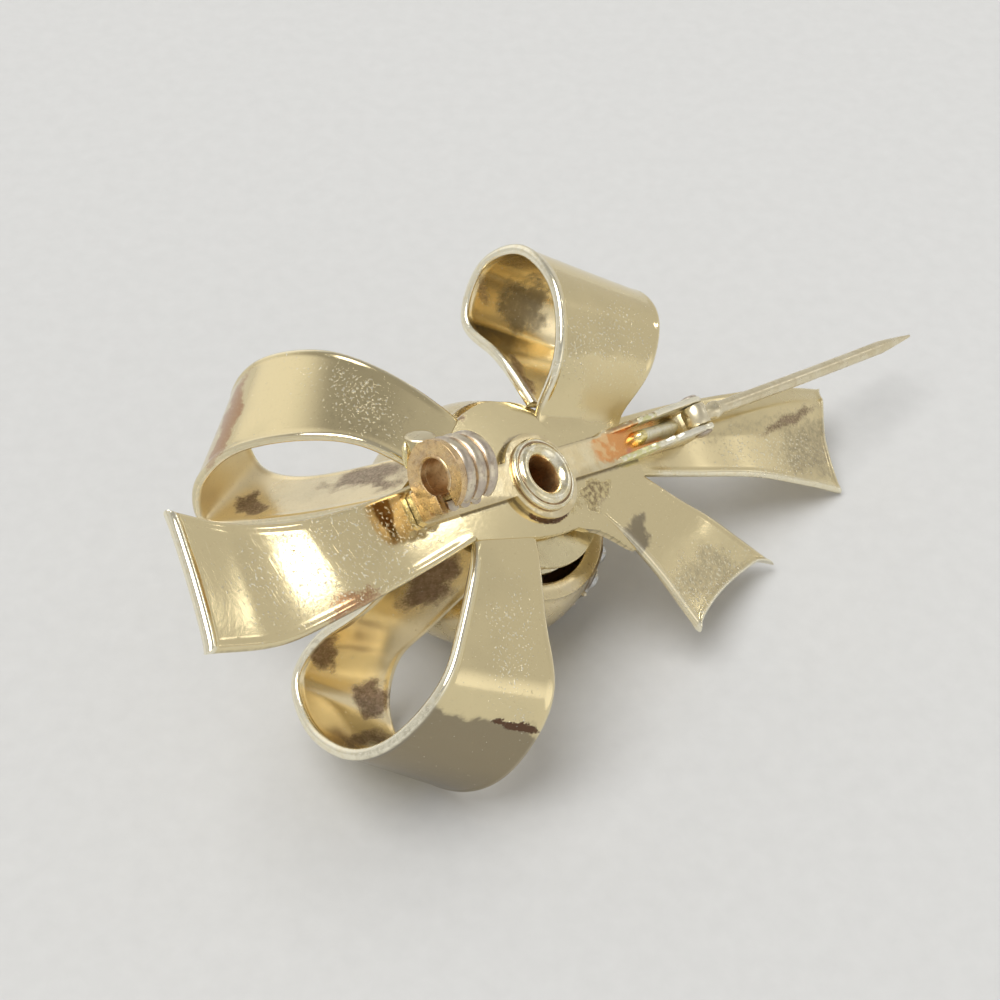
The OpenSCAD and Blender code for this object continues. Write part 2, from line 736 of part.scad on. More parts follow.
module stones() {
    count = len(stone_ways);
    size = 3 * facets;
    color("white") lay() polyhedron(stone_skin, [
        for (k = [0:count - 1]) for (face = stone_faces) [for (i = face) i + k * size]
    ]);
}

hub_plate();
loop_upper_left();
loop_lower_left();
loop_upper_right();
tail_left();
tail_right();
tail_lower();
pin_bar();
hinge_pin();
pin_stem();
catch_tube();
catch_sleeve();
rivet();
front_plate();
knot_dome();
stones();
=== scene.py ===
"""Looks of a bow brooch of gold-tone sheet, which lies on its front with its pin open.

Lengths are in millimetres in the brooch's own frame, as the CAD model lays it out: the rivet is the
middle, X runs along the pin bar to the hinge, and Z comes out of the back. world() lays it down.
"""

import json
import math

import bmesh
import bpy
import numpy as np
from mathutils import Matrix, Quaternion, Vector, noise

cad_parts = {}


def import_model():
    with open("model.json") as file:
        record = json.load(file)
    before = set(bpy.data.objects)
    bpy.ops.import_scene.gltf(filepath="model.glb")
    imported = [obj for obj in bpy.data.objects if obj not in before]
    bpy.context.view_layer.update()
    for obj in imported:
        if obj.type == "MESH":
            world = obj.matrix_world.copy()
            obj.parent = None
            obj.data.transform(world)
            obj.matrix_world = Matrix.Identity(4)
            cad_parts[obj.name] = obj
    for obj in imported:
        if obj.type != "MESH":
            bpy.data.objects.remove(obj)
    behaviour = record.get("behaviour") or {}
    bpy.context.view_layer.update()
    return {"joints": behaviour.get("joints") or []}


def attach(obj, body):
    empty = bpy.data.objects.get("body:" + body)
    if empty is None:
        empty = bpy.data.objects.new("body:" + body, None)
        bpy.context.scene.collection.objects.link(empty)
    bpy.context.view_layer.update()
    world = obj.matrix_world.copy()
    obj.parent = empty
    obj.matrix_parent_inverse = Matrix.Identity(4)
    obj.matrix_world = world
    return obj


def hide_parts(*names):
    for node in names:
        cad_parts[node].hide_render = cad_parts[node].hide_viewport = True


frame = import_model()
MM = 0.001

# Sizes shared with the CAD model
HUB_L, HUB_W = 20, 10
SHEET_T, LIP_T, LIP_W = 0.6, 0.9, 0.8
CREASE_H, CREASE_SHARP = 0.5, 1.15
CREASE_FROM, CREASE_TO, CREASE_START, CREASE_FULL = 3.2, 1.3, 0.3, 0.5
BAR_W, BAR_T, BAR_SIDE, EYE_R = 2.6, 0.6, 0.35, 3.4
HINGE_X, HINGE_H, HINGE_W, HINGE_SIDE, HINGE_R = 17.6, 1.7, 2.9, 0.55, 0.4
EAR_T, EAR_ROUND, EAR_FROM = 0.5, 1.1, 8.45
HEEL_R, HEAD_R, HEAD_T = 1.05, 0.75, 0.25
STEM_L, STEM_R, POINT_L, STEM_OPEN, STEM_SET = 28.7, 0.57, 4.5, 7.8, 0.7
COLLAR_X, COLLAR_R, COLLAR_L = 2.6, 0.75, 0.8
TONGUE_L, TONGUE_W, TONGUE_H = 5.6, 1.3, 1.1
CATCH_X, SLEEVE_L, SLEEVE_R, CATCH_Y, CATCH_H = 8.8, 3.3, 2.6, 1.5, 2.65
CATCH_BORE_R, CATCH_WALL, MOUTH_W, FLANGE_T, FOOT_W = 1.3, 0.5, 1.35, 0.55, 2.2
RIVET_R, TUBE_R, RIVET_BORE_R = 2.85, 1.7, 1.24
PLATE_R, PLATE_T, PLATE_GAP, PLATE_AT = 6.75, 0.6, 0.7, (0.5, 0.1)
BAND_R, BAND_H, BAND_WALL, BAND_LIP = 6.3, 1.6, 0.7, 0.35
DOME_R, DOME_H, DOME_WALL, DOME_AT, RIM_UP = 9.6, 9.1, 0.5, (1.2, -0.4, -8.2), 5.0
POST_R = 1.3
STONE_W, STONE_H, STONE_GAP, STRIPE_HEADING = 1.7, 0.6, 0.15, -42
STRIPE_FIRST, STRIPE_LAST = -123, 66
RUN = 0.06
SHEET_TOP = SHEET_T / 2
BAR_TOP = SHEET_TOP + BAR_T
HINGE_Z = BAR_TOP + HINGE_H
CATCH_Z = BAR_TOP + CATCH_H
PLATE_TOP = -SHEET_TOP - PLATE_GAP
BAND_LOW = PLATE_TOP - PLATE_T - BAND_H
FLANGE_X = -CATCH_X - SLEEVE_L - RUN


def unit(v):
    v = np.asarray(v, float)
    return v / np.linalg.norm(v)


def eased(share):
    """A share from 0 to 1, with a soft start and end."""
    share = np.clip(share, 0, 1)
    return share * share * (3 - 2 * share)


def spun(points, angle, i, j):
    """Points turned by an angle in the plane of axes i and j, from i to j."""
    points = np.array(points, float)
    a, b = points[..., i].copy(), points[..., j].copy()
    points[..., i] = a * math.cos(angle) - b * math.sin(angle)
    points[..., j] = a * math.sin(angle) + b * math.cos(angle)
    return points


def arc(turns, wide, tall=None):
    tall = wide if tall is None else tall
    return [(wide * math.cos(a), tall * math.sin(a)) for a in turns]


# The brooch's frame in the world, from the joints' places and axes
joints = {joint["name"]: joint for joint in frame["joints"]}
bar_way = unit(joints["catch_turn"]["axis"])
back_way = unit(np.cross(bar_way, -np.array(joints["pin_hinge"]["axis"])))
side_way = np.cross(back_way, bar_way)
TURN = np.stack([bar_way, side_way, back_way], 1)
HINGE_AT = np.array([HINGE_X, HINGE_SIDE, HINGE_Z])
RIVET_AT = np.array(joints["pin_hinge"]["pos_m"]) - TURN @ HINGE_AT * MM

# The camera: how the brooch's axes lie in the photograph, and the rivet's distance and place in it
VIEW = np.array([[0.6707, -0.4213, 0.6104], [0.2095, 0.8971, 0.3889], [-0.7115, -0.133, 0.69]])
VIEW = np.matmul(*np.linalg.svd(VIEW)[::2])
PICTURE = 1000
LENS_PX = 1800
RIVET_DISTANCE = 133.33
RIVET_PX = (534, 480)
TO_RIVET = np.array([
    (RIVET_PX[0] - PICTURE / 2) / LENS_PX * RIVET_DISTANCE,
    (PICTURE / 2 - RIVET_PX[1]) / LENS_PX * RIVET_DISTANCE,
    -RIVET_DISTANCE,
])
EYE = -VIEW.T @ TO_RIVET


def world(points):
    return np.asarray(points, float) @ TURN.T * MM + RIVET_AT


def pixels(points):
    """Where points of the brooch fall in the photograph's frame."""
    c = np.asarray(points, float) @ VIEW.T + TO_RIVET
    return PICTURE / 2 + LENS_PX * np.stack([c[..., 0] / -c[..., 2], c[..., 1] / c[..., 2]], -1)


CLOUD_FADE, CLOUD_STEP = 0.8, 2.0


def clouds(points, scale, seed=0.0, octaves=1):
    """Smooth noise of about -0.5 to 0.5 at points of the brooch."""
    flat = np.asarray(points, float).reshape(-1, 3) * scale + seed
    found = [noise.fractal(Vector(p), CLOUD_FADE, CLOUD_STEP, octaves) for p in flat]
    return np.array(found).reshape(np.shape(points)[:-1])


# Ribbons, with the CAD model's tables
CORNER = {
    name: np.array([x * HUB_L, y * HUB_W]) for name, (x, y) in {
        "left_up": (-0.49, 0.24), "top_left": (-0.23, 0.6), "top_right": (0.145, 0.47),
        "right_up": (0.58, 0.28), "right_low": (0.575, -0.23), "low_right": (0.25, -0.42),
        "low_left": (-0.12, -0.42), "left_low": (-0.41, -0.3),
    }.items()
}
TOP_BULGE, LOW_BULGE, BULGE_STEPS = 1.2, 0.3, 12
TAIL_BOW = 1.2
# Rows of a table: reach, depth, sideways drift, width, turn and lean in degrees. The lips are how
# far the first edge, the second edge and the end are rolled.
RIBBONS = {
    "loop_upper_left": dict(
        roots=("left_up", "top_left"), heading=125, reach=11.5, depth=17.3, w=9.1, end=(1, 1, 0),
        lips=(0.35, 0.6, 0), rows=[
            (0.46, 0.085, 0.01, 0.79, 5, -1), (0.79, 0.27, 0.01, 0.93, 10, 0),
            (1, 0.55, -0.02, 0.99, 11, -0.5), (0.98, 0.81, -0.06, 1, 8, -0.5),
            (0.8, 0.96, -0.11, 0.96, -1, -1), (0.61, 1, -0.16, 0.87, -11, -1.5),
            (0.43, 0.83, -0.2, 0.78, -16, -1.5), (0.23, 0.5, -0.24, 0.72, -13, -1),
            (0.03, 0.08, -0.27, 0.66, -8, 0)]),
    "loop_lower_left": dict(
        roots=("low_left", "left_low"), heading=244, reach=14.2, depth=16.6, w=10.4, end=(1, 1, 0),
        lips=(0.3, 0.9, 0), rows=[
            (0.41, 0.05, 0.03, 0.74, 10, -1), (0.77, 0.114, 0.05, 0.93, 2.5, -3),
            (0.99, 0.386, 0.11, 1, -4.5, -2), (1, 0.663, 0.19, 1, -8, -1),
            (0.8, 0.919, 0.28, 0.93, -10.5, 0.5), (0.5, 1, 0.35, 0.85, -10, 0),
            (0.29, 0.839, 0.37, 0.71, -4.5, -1.5), (0.22, 0.514, 0.35, 0.6, -5.5, -2),
            (0.04, 0.083, 0.28, 0.58, -15, -3)]),
    "loop_upper_right": dict(
        roots=("top_right", "right_up"), heading=63, reach=12.4, depth=5, w=12, end=(1, 1, 0),
        lips=(0.9, 0.3, 0), rows=[
            (0.25, -0.78, 0, 0.825, 10, 0), (0.63, -1, -0.015, 0.91, 4, 0.5),
            (0.95, -0.52, -0.05, 0.975, -1, 1), (1, 0.32, -0.08, 1, -2.5, 2),
            (0.74, 0.87, -0.08, 0.97, 0, 2.5), (0.45, 0.45, -0.055, 0.865, 3, 1),
            (0.28, 0.28, -0.045, 0.77, 3.5, 0.5), (0.07, 0.18, -0.02, 0.6, 5, 0.5)]),
    "tail_left": dict(
        roots=("left_low", "left_up"), heading=180, reach=24, depth=TAIL_BOW, w=9.4, end=(1, 1, 0.015),
        lips=(0.2, 0.2, 1), rows=[
            (0.244, 0.09, -0.074, 0.65, 14.9, 0), (0.515, 0.52, -0.11, 0.75, 8.7, 0),
            (0.763, 0.23, -0.086, 0.904, -0.3, 0), (1, -0.78, 0.046, 1, -9.5, 0)]),
    "tail_right": dict(
        roots=("right_up", "right_low"), heading=-7, reach=25, depth=TAIL_BOW, w=10.1, end=(1, 0.965, 0.04),
        lips=(0.3, 0.5, 1), rows=[
            (0.26, 0.06, -0.009, 0.634, 1.6, 0), (0.516, -0.8, 0.042, 0.748, -2.9, 0),
            (0.761, -0.93, 0.109, 0.9, -7.8, 0), (1, -0.53, 0.19, 1, -13.1, 0)]),
    "tail_lower": dict(
        roots=("right_low", "low_right"), heading=-50, reach=15.25, depth=TAIL_BOW, w=12.4,
        end=(1.02, 0.83, 0.1), lips=(0.3, 0.4, 1), rows=[
            (0.215, -0.05, 0.006, 0.62, -26, 0), (0.443, 0.17, 0.003, 0.73, -21, 0),
            (0.709, 0.65, 0.017, 0.863, -16, 0), (1, 1.1, 0.035, 1, -12, 0)]),
}
LOOP_RINGS, TAIL_RINGS, INNER_COLUMNS = 170, 80, 26
# Distances of the columns from an edge, and of the last rings from a cut end, where the lip is rounded
EDGE_COLUMNS = np.array([0, 0.03, 0.09, 0.17, 0.27, 0.38, 0.5, 0.62, 0.76, 0.92, 1.1])
# The lip's rounding, the length over which it rises from the hub, and its thinnest share of the sheet
LIP_ROUND, LIP_FADE, LIP_THIN = 0.3, 2.5, 0.1
# How often the loops' rings are evened out, so that no row of a table shows as a fold
EASE_PASSES = 14
# Rings that a loop runs back over the hub, so that it leaves it in a smooth curve
ROOT_RINGS, ROOT_SINK, ROOT_DIP, ROOT_DIP_WIDTH, ROOT_PASSES = 11, 0.05, 0.4, 1, 22
# Slight dents in the sheet: scale, seed, height, and the length over which they begin
DENT_SCALE, DENT_SEED, DENT_H, DENT_FADE = 0.07, 3, 0.1, 4
# How fast marks fade where the sheet turns away from the camera
FACING = 5
FAR = 9.0


def sections(ribbon):
    """A ribbon's base, and its rows in millimetres and degrees with one more before and after them."""
    a, b = (CORNER[name] for name in ribbon["roots"])
    root = b - a
    turn = (math.degrees(math.atan2(root[1], root[0])) - ribbon["heading"] + 270) % 360 - 180
    reach, depth, w = ribbon["reach"], ribbon["depth"], ribbon["w"]
    rows = np.array([(0, 0, 0, np.linalg.norm(root) / w, turn, 0), *ribbon["rows"]])
    rows *= (reach, depth, w, w, 1, 1)
    return (a + b) / 2, np.concatenate([[2 * rows[0] - rows[1]], rows, [2 * rows[-1] - rows[-2]]])


def section(rows, s):
    """The sections' values at places s along a ribbon, on a smooth curve through its rows."""
    i = np.clip(np.floor(s).astype(int), 0, len(rows) - 4)
    f = (s - i)[..., None]
    a, b, c, d = rows[i], rows[i + 1], rows[i + 2], rows[i + 3]
    return (2 * b + (c - a) * f + (2 * a - 5 * b + 4 * c - d) * f**2 + (3 * b - a - 3 * c + d) * f**3) / 2


def ribbon_grid(name, rings):
    """The middle surface of a ribbon: points, distances from the near edge, widths and shares along."""
    ribbon = RIBBONS[name]
    base, rows = sections(ribbon)
    edge, few = EDGE_COLUMNS, len(EDGE_COLUMNS)
    c = np.linspace(0, 1, 2 * few + INNER_COLUMNS)
    cut = ribbon["end"]
    ends = cut[0] + (cut[1] - cut[0]) * c - cut[2] * 4 * c * (1 - c)
    shares = np.linspace(0, 1 - edge[-1] / ribbon["reach"], rings + 1)[:-1]
    shares = np.concatenate([shares, 1 - edge[::-1] / ribbon["reach"]])
    t = shares[:, None] * ends
    q = section(rows, t * (len(rows) - 3))
    w = q[..., 3]
    inner = np.linspace(0, 1, INNER_COLUMNS + 2)[1:-1]
    middle = edge[-1] + inner * (w[:, few:-few] - 2 * edge[-1])
    d = np.concatenate([np.broadcast_to(edge, (len(shares), few)), middle, w[:, -few:] - edge[::-1]], 1)
    across = d - w / 2
    a = math.radians(ribbon["heading"])
    b = a - math.pi / 2 + np.radians(q[..., 4])
    lean = np.radians(q[..., 5])
    x = base[0] + q[..., 0] * math.cos(a) + q[..., 2] * math.sin(a) + across * np.cos(b) * np.cos(lean)
    y = base[1] + q[..., 0] * math.sin(a) - q[..., 2] * math.cos(a) + across * np.sin(b) * np.cos(lean)
    z = -q[..., 1] + across * np.sin(lean)
    if name == "tail_right":
        at = CREASE_FROM + (CREASE_TO - CREASE_FROM) * t
        far = np.where(d < at, (at - d) / at, (d - at) / (w / 2 - at))
        rise = np.clip((t - CREASE_START) / (CREASE_FULL - CREASE_START), 0, 1)
        z = z + CREASE_H * rise * np.clip(1 - far, 0, 1) ** CREASE_SHARP
    return np.stack([x, y, z], -1), d, w, t


def even_out(points, passes):
    for _ in range(passes):
        points[1:-1] = (points[:-2] + 2 * points[1:-1] + points[2:]) / 4


def rooted(points, d, w, t):
    """A loop's grid, carried on a little way over the hub, with its rings evened out."""
    back = unit(np.cross((0, 0, 1), points[0, -1] - points[0, 0]))
    back *= -np.sign(back @ (points[ROOT_RINGS, 0] - points[0, 0]))
    gap = np.linalg.norm(points[1, 0] - points[0, 0])
    rows = np.arange(ROOT_RINGS, 0, -1)
    flat = points[:1] + rows[:, None, None] * gap * back
    near = np.minimum(d[0], w[0] - d[0])
    dip = ROOT_DIP * np.clip(1 - near / ROOT_DIP_WIDTH, 0, 1) ** 2
    flat[..., 2] -= dip + rows[:, None] / ROOT_RINGS * ROOT_SINK
    points = np.concatenate([flat, points])
    even_out(points, EASE_PASSES)
    even_out(points[:2 * ROOT_RINGS], ROOT_PASSES)
    return points, *(np.concatenate([np.repeat(q[:1], ROOT_RINGS, 0), q]) for q in (d, w, t))


def gauge(d, w, left, t, length, lips):
    """Thickness at a distance from the edges: rolled lips that fade in from the hub."""
    beads = [lip * eased(1 - (near - LIP_ROUND) / (LIP_W - LIP_ROUND))
             for lip, near in zip(lips, (d, w - d, left))]
    raised = np.maximum.reduce(beads) * np.clip(t * length / LIP_FADE, 0, 1)
    near = np.minimum.reduce([d, w - d, left])
    rounding = np.sqrt(np.clip(1 - (1 - np.clip(near / LIP_ROUND, 0, 1)) ** 2, 0, 1))
    return (SHEET_T + (LIP_T - SHEET_T) * raised) * np.maximum(rounding, LIP_THIN), near, raised


# Meshes
SHARP_ANGLE, STONE_ANGLE = 38, 12
BEVEL_ANGLE, BEVEL_PROFILE = 0.6, 0.6
# Radius of a turned section's points on its axis
AXIS_R = 0.001
HOLE_STEPS, CUT_NEAR = 64, 1e-5


def made(name, data):
    """An object in the scene with its data."""
    obj = bpy.data.objects.new(name, data)
    bpy.context.scene.collection.objects.link(obj)
    return obj


def shade(obj, angle=SHARP_ANGLE):
    obj.data.polygons.foreach_set("use_smooth", [True] * len(obj.data.polygons))
    obj.data.set_sharp_from_angle(angle=math.radians(angle))


def mesh_object(name, points, faces, body, replaced, materials, numbers=None):
    """A mesh piece from points of the brooch's frame, which rides on a body in a CAD node's place."""
    mesh = bpy.data.meshes.new(name)
    mesh.from_pydata(world(points).tolist(), [], [tuple(int(i) for i in f) for f in faces])
    for material in materials:
        mesh.materials.append(material)
    if numbers is not None:
        mesh.polygons.foreach_set("material_index", numbers)
    mesh.update()
    obj = made(name, mesh)
    shade(obj)
    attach(obj, body)
    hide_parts(*replaced)
    return obj


def fused(name, parts, body, replaced, materials, bevel=0.0, segments=2):
    """A piece from parts, each with points, faces and material numbers, with its hard edges bevelled."""
    points, faces, numbers = [], [], []
    at = 0
    for part_points, part_faces, number in parts:
        points.append(part_points)
        faces += [tuple(i + at for i in face) for face in part_faces]
        numbers += list(number) if np.ndim(number) else [number] * len(part_faces)
        at += len(part_points)
    obj = mesh_object(name, np.concatenate(points), faces, body, replaced, materials, numbers)
    mesh = bmesh.new()
    mesh.from_mesh(obj.data)
    bmesh.ops.recalc_face_normals(mesh, faces=mesh.faces)
    if bevel:
        sharp = [e for e in mesh.edges if len(e.link_faces) == 2 and e.calc_face_angle(0) > BEVEL_ANGLE]
        bmesh.ops.bevel(mesh, geom=sharp, offset=bevel * MM, segments=segments, profile=BEVEL_PROFILE,
                        affect="EDGES", clamp_overlap=True)
    mesh.to_mesh(obj.data)
    mesh.free()
    shade(obj)
    return obj


def attributes(obj, found):
    for name, values in found.items():
        layer = obj.data.attributes.new(name, "FLOAT", "POINT")
        layer.data.foreach_set("value", np.asarray(values, np.float32).ravel())


def taken(mesh):
    """Points and faces of a bmesh, which is freed."""
    mesh.verts.index_update()
    points = np.array([v.co[:] for v in mesh.verts])
    faces = [tuple(v.index for v in f.verts) for f in mesh.faces]
    mesh.free()
    return points, faces


def ball(radius, subdivisions):
    mesh = bmesh.new()
    bmesh.ops.create_icosphere(mesh, subdivisions=subdivisions, radius=radius)
    return taken(mesh)


def loft(rings, ends="flat"):
    """Points and faces of a body through rings of as many points each. Its ends are flat, open or joined."""
    rings = np.asarray(rings, float)
    at = np.arange(rings.shape[0] * rings.shape[1]).reshape(rings.shape[:2])
    if ends == "joined":
        at = np.concatenate([at, at[:1]])
    after = np.roll(at, -1, 1)
    faces = np.stack([at[:-1], after[:-1], after[1:], at[1:]], -1).reshape(-1, 4).tolist()
    if ends == "flat":
        faces += [at[0].tolist(), at[-1, ::-1].tolist()]
    return rings.reshape(-1, 3), faces


def revolve(profile, steps, start=0.0, end=360.0):
    """Points and faces of a closed section of (radius, height) turned about Z, all or part of the way."""
    whole = end - start >= 360
    turns = np.radians(np.linspace(start, end, steps + (0 if whole else 1), endpoint=not whole))
    radius, height = np.array(profile).T
    x, y, z = (np.outer(part, by) for part, by in
               ((np.cos(turns), radius), (np.sin(turns), radius), (np.ones(len(turns)), height)))
    return loft(np.stack([x, y, z], -1), "joined" if whole else "flat")


def mirrored(end, half):
    """A section from one end's rows of (radius, height over the end), and its mirror image."""
    return [(r, -half - z) for r, z in end] + [(r, half + z) for r, z in end[::-1]]


def plate(outline, low, high, hole=None, grid=0.0):
    """Points and faces of a flat plate with an outline, and a round hole in it if one is given."""
    flat = bmesh.new()
    ring = [flat.verts.new((x, y, low)) for x, y in outline]
    edges = [flat.edges.new((ring[i], ring[(i + 1) % len(ring)])) for i in range(len(ring))]
    if hole:
        turns = [k * math.tau / HOLE_STEPS for k in range(HOLE_STEPS)]
        cut = [flat.verts.new((x, y, low)) for x, y in arc(turns, hole)]
        edges += [flat.edges.new((cut[i], cut[(i + 1) % HOLE_STEPS])) for i in range(HOLE_STEPS)]
    bmesh.ops.triangle_fill(flat, edges=edges, use_beauty=True)
    for axis in (0, 1) if grid else ():
        values = [v.co[axis] for v in flat.verts]
        way = Vector([float(axis == k) for k in range(3)])
        for at in np.arange(min(values) + grid, max(values), grid):
            bmesh.ops.bisect_plane(flat, geom=flat.verts[:] + flat.edges[:] + flat.faces[:],
                                   dist=CUT_NEAR, plane_co=way * at, plane_no=way)
    extruded = bmesh.ops.extrude_face_region(flat, geom=flat.faces[:])
    for vert in (v for v in extruded["geom"] if isinstance(v, bmesh.types.BMVert)):
        vert.co.z = high
    bmesh.ops.recalc_face_normals(flat, faces=flat.faces)
    return taken(flat)


def bulged(a, b, bulge):
    """The points between two corners of an edge that bulges out."""
    way = unit(b - a)
    out = np.array([-way[1], way[0]])
    shares = [k / BULGE_STEPS for k in range(1, BULGE_STEPS)]
    return [a + s * (b - a) + 4 * s * (1 - s) * bulge * out for s in shares]


def window(value, low, high, soft):
    """1 between two limits and 0 outside them, with soft ends."""
    return eased(np.minimum(value - low, high - value) / soft + 0.5)


# Marks on the sheet, by their place in the photograph. Each has a channel of the sheet's material,
# the side of the piece (1 outside, -1 inside), the middle in pixels, the half sizes in pixels, the
# tilt in degrees and the strength.
MARKS = {
    "loop_upper_left": {
        "edge_band": ("blush", 1, (228, 424), (6, 50), -21, 1),
        "shade": ("dull_and_shade", 1, (368, 425), (46, 40), -10, 0.22),
        "specks": ("specks", 1, (362, 400), (46, 22), -35, 0.9),
        "specks_low": ("specks", 1, (330, 375), (50, 12), -20, 0.5),
        "smudge": ("stain", -1, (252, 504), (15, 9), 0, 1),
        "warm": ("blush", -1, (310, 498), (70, 16), 8, 0.15),
        "inside": ("stain", -1, (368, 476), (42, 10), 14, 1),
        "curl_haze": ("matt", -1, (226, 478), (40, 46), 0, 1.2),
    },
    "loop_lower_left": {
        "patch_left": ("stain", -1, (324, 652), (13, 22), 20, 1.15),
        "patch_root": ("stain", -1, (430, 584), (34, 18), 42, 1.35),
        "patch_low": ("stain", -1, (372, 698), (20, 18), 30, 1.2),
        "patch_end": ("stain", -1, (366, 740), (24, 8), 8, 1),
        # Painted shade: a dark line along the crease, at the upper edge of the painted dark reflection below it
        "crease": ("shade_and_pits", 1, (516, 725), (24, 4), -13, 1.2),
        # Painted reflection of a dark floor: the loop's outer underside darkened with the shade tint
        "under": ("dull_and_shade", 1, (480, 790), (96, 53), -11, 5),
        "specks": ("specks", 1, (512, 640), (22, 60), 0, 0.8),
        "pale_bead": ("specks", 1, (525, 715), (8, 8), 0, 1),
    },
    "loop_upper_right": {
        # Painted shade: a smooth dark tone inside the loop
        "dark": ("dull_and_shade", -1, (526, 304), (22, 26), 0, 0.8),
        "low": ("stain", -1, (522, 380), (8, 24), 24, 1.1),
        "edge": ("stain", -1, (484, 290), (6, 16), 12, 0.7),
        "apex": ("stain", -1, (516, 262), (20, 6), 0, 0.5),
        "specks": ("specks", 1, (602, 350), (46, 40), 0, 0.8),
        "root_haze": ("matt", 1, (612, 392), (30, 30), 0, 1.8),
    },
    "tail_left": {
        "blush": ("blush", 1, (352, 606), (28, 10), 24, 0.9),
        "specks": ("specks", 1, (335, 560), (110, 56), 20, 0.85),
    },
    "tail_right": {
        "stain": ("stain", 1, (788, 420), (30, 5), 26, 0.9),
        # Painted reflection: a darker line along the crease, where the sheet mirrors the pin's wire
        "ridge": ("dull_and_shade", 1, (740, 428), (60, 7), 18, 0.3),
        "under": ("dull_and_shade", 1, (814, 448), (40, 26), -14, 0.5),
        "haze": ("matt", 1, (745, 440), (95, 45), 16, 1),
        "low": ("specks", 1, (765, 455), (60, 24), 0, 0.9),
    },
    "tail_lower": {
        "haze": ("matt", 1, (690, 572), (44, 28), 40, 0.8),
        "patch": ("dull_and_shade", 1, (636, 540), (11, 20), 0, 1),
        "end": ("dull_and_shade", 1, (708, 576), (34, 26), 35, 0.42),
        "specks": ("specks", 1, (712, 582), (42, 34), 35, 1),
    },
    "hub_plate": {
        "residue": ("residue", 1, (592, 495), (18, 13), 38, 1),
        "residue_dark": ("stain", 1, (598, 499), (8, 10), 0, 0.6),
        # Painted shadow: a small dark spot in the gap by the hub's top edge
        "gap_shadow": ("stain", 1, (459, 419), (6, 3), 12, 1),
    },
}
# The dull_and_shade channel is painted shade: a dusk tint where the sheet lies in shade or mirrors a dark
# floor, with a little added roughness.
CHANNELS = ("stain", "dull_and_shade", "blush", "specks", "shade_and_pits", "residue", "matt")
# How ragged the marks' outlines are: pixels, scale, second seed and octaves
MARK_WARP, WARP_SCALE, WARP_SEED, WARP_OCTAVES = 11, 0.5, 40, 4
# How far out a mark starts to show, in its half sizes
MARK_REACH = 1.6


def mark_strengths(name, points, sides, seen=1):
    """How strong each channel is at the points of a piece, with ragged outlines, where it is seen."""
    at = pixels(points)
    warp = [clouds(points, WARP_SCALE, seed, WARP_OCTAVES) for seed in (0, WARP_SEED)]
    warp = np.stack(warp, -1) * MARK_WARP
    found = {channel: np.zeros(len(points)) for channel in CHANNELS}
    for channel, side, middle, half, tilt, strength in MARKS[name].values():
        off = at + warp * min(1, min(half) / MARK_WARP) - middle
        u, v = (spun(off, math.radians(tilt), 0, 1) / half).T
        share = eased(MARK_REACH - np.hypot(u, v)) * strength * (sides == side) * seen
        found[channel] = np.maximum(found[channel], share)
    return found


def both(top, low):
    """Values of a ribbon's upper side and, back again in each ring, of its lower side."""
    return np.concatenate([top, low[:, ::-1]], 1)


def make_ribbon(name, material):
    lips = RIBBONS[name]["lips"]
    loop = name.startswith("loop")
    points, d, w, t = ribbon_grid(name, LOOP_RINGS if loop else TAIL_RINGS)
    if loop:
        points, d, w, t = rooted(points, d, w, t)
    steps = np.linalg.norm(np.diff(points, axis=0), axis=2)
    run = np.concatenate([np.zeros((1, steps.shape[1])), np.cumsum(steps, 0)])
    left = run[-1] - run if lips[2] else np.full(run.shape, FAR)
    length = float(run[-1].max())
    normal = np.cross(np.gradient(points, axis=1), np.gradient(points, axis=0))
    normal /= np.maximum(np.linalg.norm(normal, axis=-1, keepdims=True), 1e-12)
    normal[0] = (0, 0, 1)
    thick, near, raised = gauge(d, w, left, t, length, lips)
    dents = clouds(points, DENT_SCALE, DENT_SEED) * DENT_H * np.clip(t * length / DENT_FADE, 0, 1)
    points = points + normal * dents[..., None]
    half = normal * thick[..., None] / 2
    flat, faces = loft(both(points + half, points - half), "open")
    n = 2 * d.shape[1]
    last = len(flat) - n
    quads = [(j, j + 1, n - 2 - j, n - 1 - j) for j in range(n // 2 - 1)]
    faces += [quad[::-1] for quad in quads] + [tuple(last + i for i in quad) for quad in quads]
    obj = mesh_object(name + "_ribbon", flat, faces, "brooch", (name,), [material])
    sides = both(np.ones(d.shape), -np.ones(d.shape)).ravel()
    found = {"edge": near, "along": run, "across": d, "rolled": raised}
    found = {key: both(value, value) for key, value in found.items()}
    facing = np.sum(both(normal, -normal).reshape(-1, 3) * (EYE - flat), 1)
    facing /= np.linalg.norm(EYE - flat, axis=1)
    seen = np.clip(facing * FACING + 0.5, 0, 1)
    attributes(obj, {"side": sides, **found, **mark_strengths(name, flat, sides, seen)})


